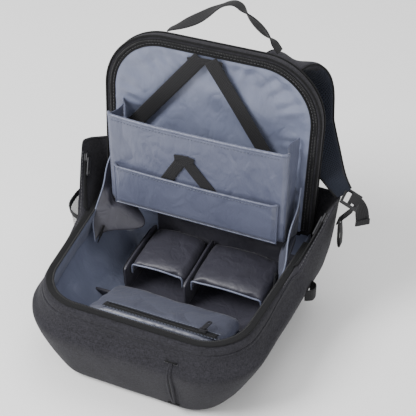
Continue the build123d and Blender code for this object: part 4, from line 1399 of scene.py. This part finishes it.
lockSpec = {
    "width": 30, "height": 24, "rail": 3.6, "bars": ((-10.3, 3.4, 3.4), (0, 4.6, 4.4), (10.3, 3.4, 3.4)),
    "tail": ((2, 5.2), (-7, 5.0), (-14, 0.5), (-21, -7), (-27, -16), (-31, -25)),
}
locks = {
    "left": (basis((-140, 166, 147), (1, 0, 0), (0, 0.94, 0.34)), Vector((-0.3, 0.7, 0.5))),
    "right": (basis((197, 107, 188), (0, 1, 0), (0.42, 0, 0.91)), Vector((0.6, -0.7, 0.35))),
}
for side, (plane, facing) in locks.items():
    up = 1 if plane.col[1].z > 0 else -1
    bm = bmesh.new()
    bm.loops.layers.uv.new("flat")
    for x in (-1, 1):
        box(bm, (x * (lockSpec["width"] - lockSpec["rail"]) / 2, 0, 2), (lockSpec["rail"], lockSpec["height"], 4),
            bevel=1.2, segments=3)
    for y, deep, thick in lockSpec["bars"]:
        box(bm, (0, y, 2), (lockSpec["width"] - 4, deep, thick), bevel=1.1, segments=3)
    box(bm, (0, up * 11.0, 3.4), (lockSpec["width"] - 9, 2.2, 2.2), Matrix.Rotation(0.5, 4, "X"), bevel=0.8)
    bmesh.ops.transform(bm, matrix=plane, verts=bm.verts)
    finishPiece("ladderLock" + side.title(), bm, blackPlastic, "lock_" + side, ("ladder_lock_" + side,))
    route = [plane @ Vector((0, up * y, z)) for y, z in lockSpec["tail"]]
    normal = plane.to_3x3() @ Vector((0, 0, 1))

    def tailFace(t):
        return normal.lerp(facing, 0.85 * ease(t * 1.7 - 0.2)).normalized()

    tail = band(route, 20, tailFace, 6, 40, crown=0.4)
    hemFold = band([along(route, share) + facing * 2.4 for share in (0.99, 0.9, 0.8)], 20, facing, 6, 12)
    finishPiece(
        "strapTail" + side.title(), joinMeshes([tail, hemFold]), webbing, "lock_" + side, ("adjuster_" + side,),
        skin=1.5, smooth=1)

tabs = []
for route, up in (
    ([(-140, 142, 122), (-140, 150, 127), (-140, 158, 131), (-140, 163.5, 134)], (0, -0.4, 1)),
    ([(183, 105, 150), (189, 106, 158), (196, 107, 167), (203, 107, 177)], (-1, 0, 0.8)),
):
    tabs.append(band(vectors(route), 20, Vector(up).normalized(), 5, 24, crown=0.3))
finishPiece("anchorTabs", joinMeshes(tabs), webbing, "tub", ("anchor_tabs",), skin=1.5, smooth=1)

loopRoute = vectors([(189.6, 87, 166), (190.4, 86.5, 150), (191.2, 86, 136), (192.4, 86, 128.5), (194.0, 86, 128.0),
                     (194.8, 86, 133), (194.6, 86.3, 148), (192.0, 87, 165)])
bm = band(loopRoute, 11, Vector((0.999, 0, 0.02)), 4, 60)
for v in bm.verts:
    v.co.y += 1.0 * sin(v.co.z * 0.12)
finishPiece("hangingLoop", bm, webbing, "tub", ("hanging_loop",), skin=1.2, smooth=1)


def wallX(y, height):
    nearHalf, farHalf, nearY, farY = levelAt(height)[:4]
    return mix(nearHalf, farHalf, (y - nearY) / (farY - nearY))


sideLoopSpec = {
    "near": 29, "far": 51, "height": 78,
    "tip": ((171, 30.5), (176.5, 34), (178, 40), (176.5, 46), (171, 49.5)),
}
foot = wallX(40, sideLoopSpec["height"]) + 2.5
loopRoute = vectors(
    (x, y, sideLoopSpec["height"])
    for x, y in ((foot, sideLoopSpec["near"]), *sideLoopSpec["tip"], (foot, sideLoopSpec["far"])))
finishPiece("sideLoop", band(loopRoute, 20, lambda t: Vector((sin(pi * t), -cos(pi * t), 0)), 5, 50), webbing, "tub",
            ("side_loop",), skin=1.5, smooth=1)

bottle = {"near": 22, "far": 98, "low": 10, "high": 116, "lowX": 150, "highX": 186, "hem": 8}


def bottleSpot(s, height, grow=0.0):
    y = mix(bottle["near"], bottle["far"], s)
    face = mix(bottle["lowX"], bottle["highX"], (height - bottle["low"]) / (bottle["high"] - bottle["low"]))
    wall = wallX(y, min(height, 117)) + 5.5
    round_ = max(0.0, 1 - abs(2 * s - 1) ** 3.2) ** 0.7
    x = wall + max(face + grow - wall, 2.0) * round_ + 0.9 * ripple((y, height, 3), 18, 6) * round_
    return Vector((-x, y, height))


def bottlePoint(s, t):
    return bottleSpot(s, mix(bottle["low"], bottle["high"] - bottle["hem"], t) + 1.5 * sin(pi * s) * t)


bm = gridSheet(48, 48, bottlePoint, flat=(118, 98))
area = sum(f.calc_area() for f in bm.faces) * millimetre ** 2
meshPocket = finishPiece("bottlePocket", bm, stretchMesh, "tub", ("bottle_pocket",), smooth=1)
print("mesh pocket", round(area, 4))


def hemPoint(s, t):
    height = bottle["high"] - bottle["hem"] + t * bottle["hem"] + 1.5 * sin(pi * s) * (1 - t)
    return bottleSpot(s, height, 0.3) + Vector((0.35 * sin(s * 90), 0, 0))


finishPiece("bottlePocketHem", gridSheet(90, 6, hemPoint, flat=(118, 8)), webbing, "tub", ("bottle_pocket_hem",),
            skin=1.6, smooth=1)
seam = [bottleSpot(0.0, mix(112, 10, i / 30)) for i in range(31)]
seam += [bottleSpot(i / 40, 10) for i in range(1, 41)]
seam += [bottleSpot(1.0, mix(10, 112, i / 30)) for i in range(1, 31)]
finishPiece("bottlePocketBinding", tube(seam, 1.9, 8, up=Vector((1, 0, 0.01))), charcoalDeep, "tub")

# slit pocket on the top end: a dark slot between two lips, with a bar tack at each end
slit = {"across": 62, "low": 20, "high": 94, "lip": 2.6, "tackHalf": 8, "tackThreads": 9,
        "thread": {"length": 2.2, "gap": 3.0, "radius": 0.45}}


def frontSpot(x, height, lift=0.0):
    best = min((wallPoint(0.09, i / 200) for i in range(201)), key=lambda p: abs(p.z - height))
    return Vector((x, best.y - lift, height))


slitLine = [frontSpot(slit["across"], mix(slit["low"], slit["high"], i / 24)) for i in range(25)]

def slitLip(sign):
    open_ = [slit["lip"] * (0.35 + 0.65 * sin(pi * i / 24)) for i in range(25)]
    line = [p + Vector((sign * wide, -0.4, 0)) for p, wide in zip(slitLine, open_)]
    return tube(line, 1.9, 10, up=Vector((0, 1, 0.01)))


lips = joinMeshes([slitLip(sign) for sign in (-1, 1)])
finishPiece("slitLips", lips, charcoal, "tub", ("slit_pocket_welt",))
slitMiddle = [p + Vector((0, -1.0, 0)) for p in slitLine]
dark = band(slitMiddle, lambda t: 0.6 + 4.0 * sin(pi * t), Vector((0, -1, 0.01)), 4, 40)
finishPiece("slitShadow", dark, zipCloth, "tub", skin=0.6)
tacks, tackBars = [], []
for height in (slit["low"] - 1, slit["high"] + 1):
    spot = frontSpot(slit["across"], height, 2.2)
    for k in range(slit["tackThreads"]):
        x = mix(-slit["tackHalf"], slit["tackHalf"], k / (slit["tackThreads"] - 1))
        tacks.append([spot + Vector((x, 0, -1.2)), spot + Vector((x + 1.2, 0, 1.2))])
    bar = [frontSpot(slit["across"] + x, height, 2.0) for x in (-8, -4, 0, 4, 8)]
    tackBars.append(tube(bar, 1.1, 8, up=Vector((0, 1, 0.01))))
stitchRun(tacks, "barTacks", threadGrey, "tub", slit["thread"])
finishPiece("tackBars", joinMeshes(tackBars), charcoalDeep, "tub")

# binding strip in the hinge crease
hingeBand = {"half": 136, "near": 96.5, "far": 117.5, "height": 115.8, "crown": 0.9, "wave": 0.3}


def hingePoint(s, t):
    height = hingeBand["height"] + hingeBand["crown"] * sin(pi * t)
    height += hingeBand["wave"] * ripple((s * 200, t * 20, 0), 20)
    return Vector((mix(-hingeBand["half"], hingeBand["half"], s), mix(hingeBand["near"], hingeBand["far"], t), height))


bm = gridSheet(60, 8, hingePoint, flat=(272, 22))
finishPiece("hingeStrip", bm, charcoalDeep, "tub", ("hinge_band",), skin=1.8, smooth=1)
hookStrips = {"across": (("Left", -88.6), ("Right", 124.6)), "half": 1, "low": (9, 19), "high": (102, 56)}
for label, x in hookStrips["across"]:
    softBoard(
        "velcro" + label,
        (x - hookStrips["half"], *hookStrips["low"]), (x + hookStrips["half"], *hookStrips["high"]), "velcro_strips", webbing, puff=0.2)
print("harness ready")


# CAD pieces that keep their own mesh

slotFinish = {
    "outer_fabric": charcoal, "lining": lining, "divider_fabric": dividerCloth, "webbing": webbing,
    "air_mesh": airMesh, "pocket_mesh": stretchMesh, "zip_tape": zipCloth, "zip_metal": gunmetal, "buckle": blackPlastic,
}
for material in frame["record"]["materials"]:
    for node in material.get("nodes", []):
        obj = frame["nodes"][node]
        if obj.hide_render:
            continue
        obj.data.materials.clear()
        obj.data.materials.append(slotFinish[material["slot"]])


# floor, light and camera

studio = {
    "target": (9.9, 80.2, 137.3), "azimuth": 24.2, "elevation": 40.0, "roll": -1.4, "distance": 1386.0, "lens": 89.2,
}
bm = bmesh.new()
bmesh.ops.create_grid(bm, x_segments=1, y_segments=1, size=9000)
bmesh.ops.translate(bm, vec=(0, 0, -0.6), verts=bm.verts)
paper, paperTree, paperShader = startMaterial("palePaper", 0.95)
paperPlace = paperTree.nodes.new("ShaderNodeTexCoord").outputs["Object"]
paperTree.links.new(
    blendColour(paperTree, noiseOf(paperTree, paperPlace, 3.0), (0.9, 0.9, 0.9), (0.93, 0.93, 0.93)),
    paperShader.inputs["Base Color"])
floorSheet = finishPiece("paperFloor", bm, paper)
floorSheet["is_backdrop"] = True


def addLight(name, place, size, power, colour=(1, 1, 1), aim=(0, 0, 0.12)):
    lamp = bpy.data.lights.new(name, "AREA")
    lamp.shape = "DISK"
    lamp.size = size
    lamp.energy = power
    lamp.color = colour
    obj = bpy.data.objects.new(name, lamp)
    obj.location = place
    obj.rotation_euler = (Vector(aim) - Vector(place)).to_track_quat("-Z", "Y").to_euler()
    scene.collection.objects.link(obj)
    return obj


addLight("keyLight", (-1.3, -1.2, 2.1), 1.3, 84)
addLight("fillLight", (1.9, -1.3, 1.2), 1.8, 11)
addLight("topLight", (0.1, 0.6, 2.4), 1.6, 20)

world = bpy.data.worlds.new("studioAir")
world.use_nodes = True
world.node_tree.nodes["Background"].inputs["Color"].default_value = (1.0, 1.0, 1.0, 1)
world.node_tree.nodes["Background"].inputs["Strength"].default_value = 0.8
scene.world = world

turn, rise, roll = (radians(studio[k]) for k in ("azimuth", "elevation", "roll"))
back = Vector((sin(turn) * cos(rise), -cos(turn) * cos(rise), sin(rise)))
right = Vector((cos(turn), sin(turn), 0))
upward = back.cross(right)
camera = bpy.data.cameras.new("studioCamera")
camera.lens = studio["lens"]
camera.sensor_width = 36
cameraObject = bpy.data.objects.new("studioCamera", camera)
scene.collection.objects.link(cameraObject)
rolledRight = right * cos(roll) + upward * sin(roll)
rolledUp = upward * cos(roll) - right * sin(roll)
eye = (Vector(studio["target"]) + back * studio["distance"]) * millimetre
cameraObject.matrix_world = Matrix.Translation(eye) @ (
    Matrix((rolledRight, rolledUp, back)).transposed().to_4x4())
scene.camera = cameraObject

low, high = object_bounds()
{"cad": cadBox, "visual": [list(low), list(high)]}
print("scene ready")
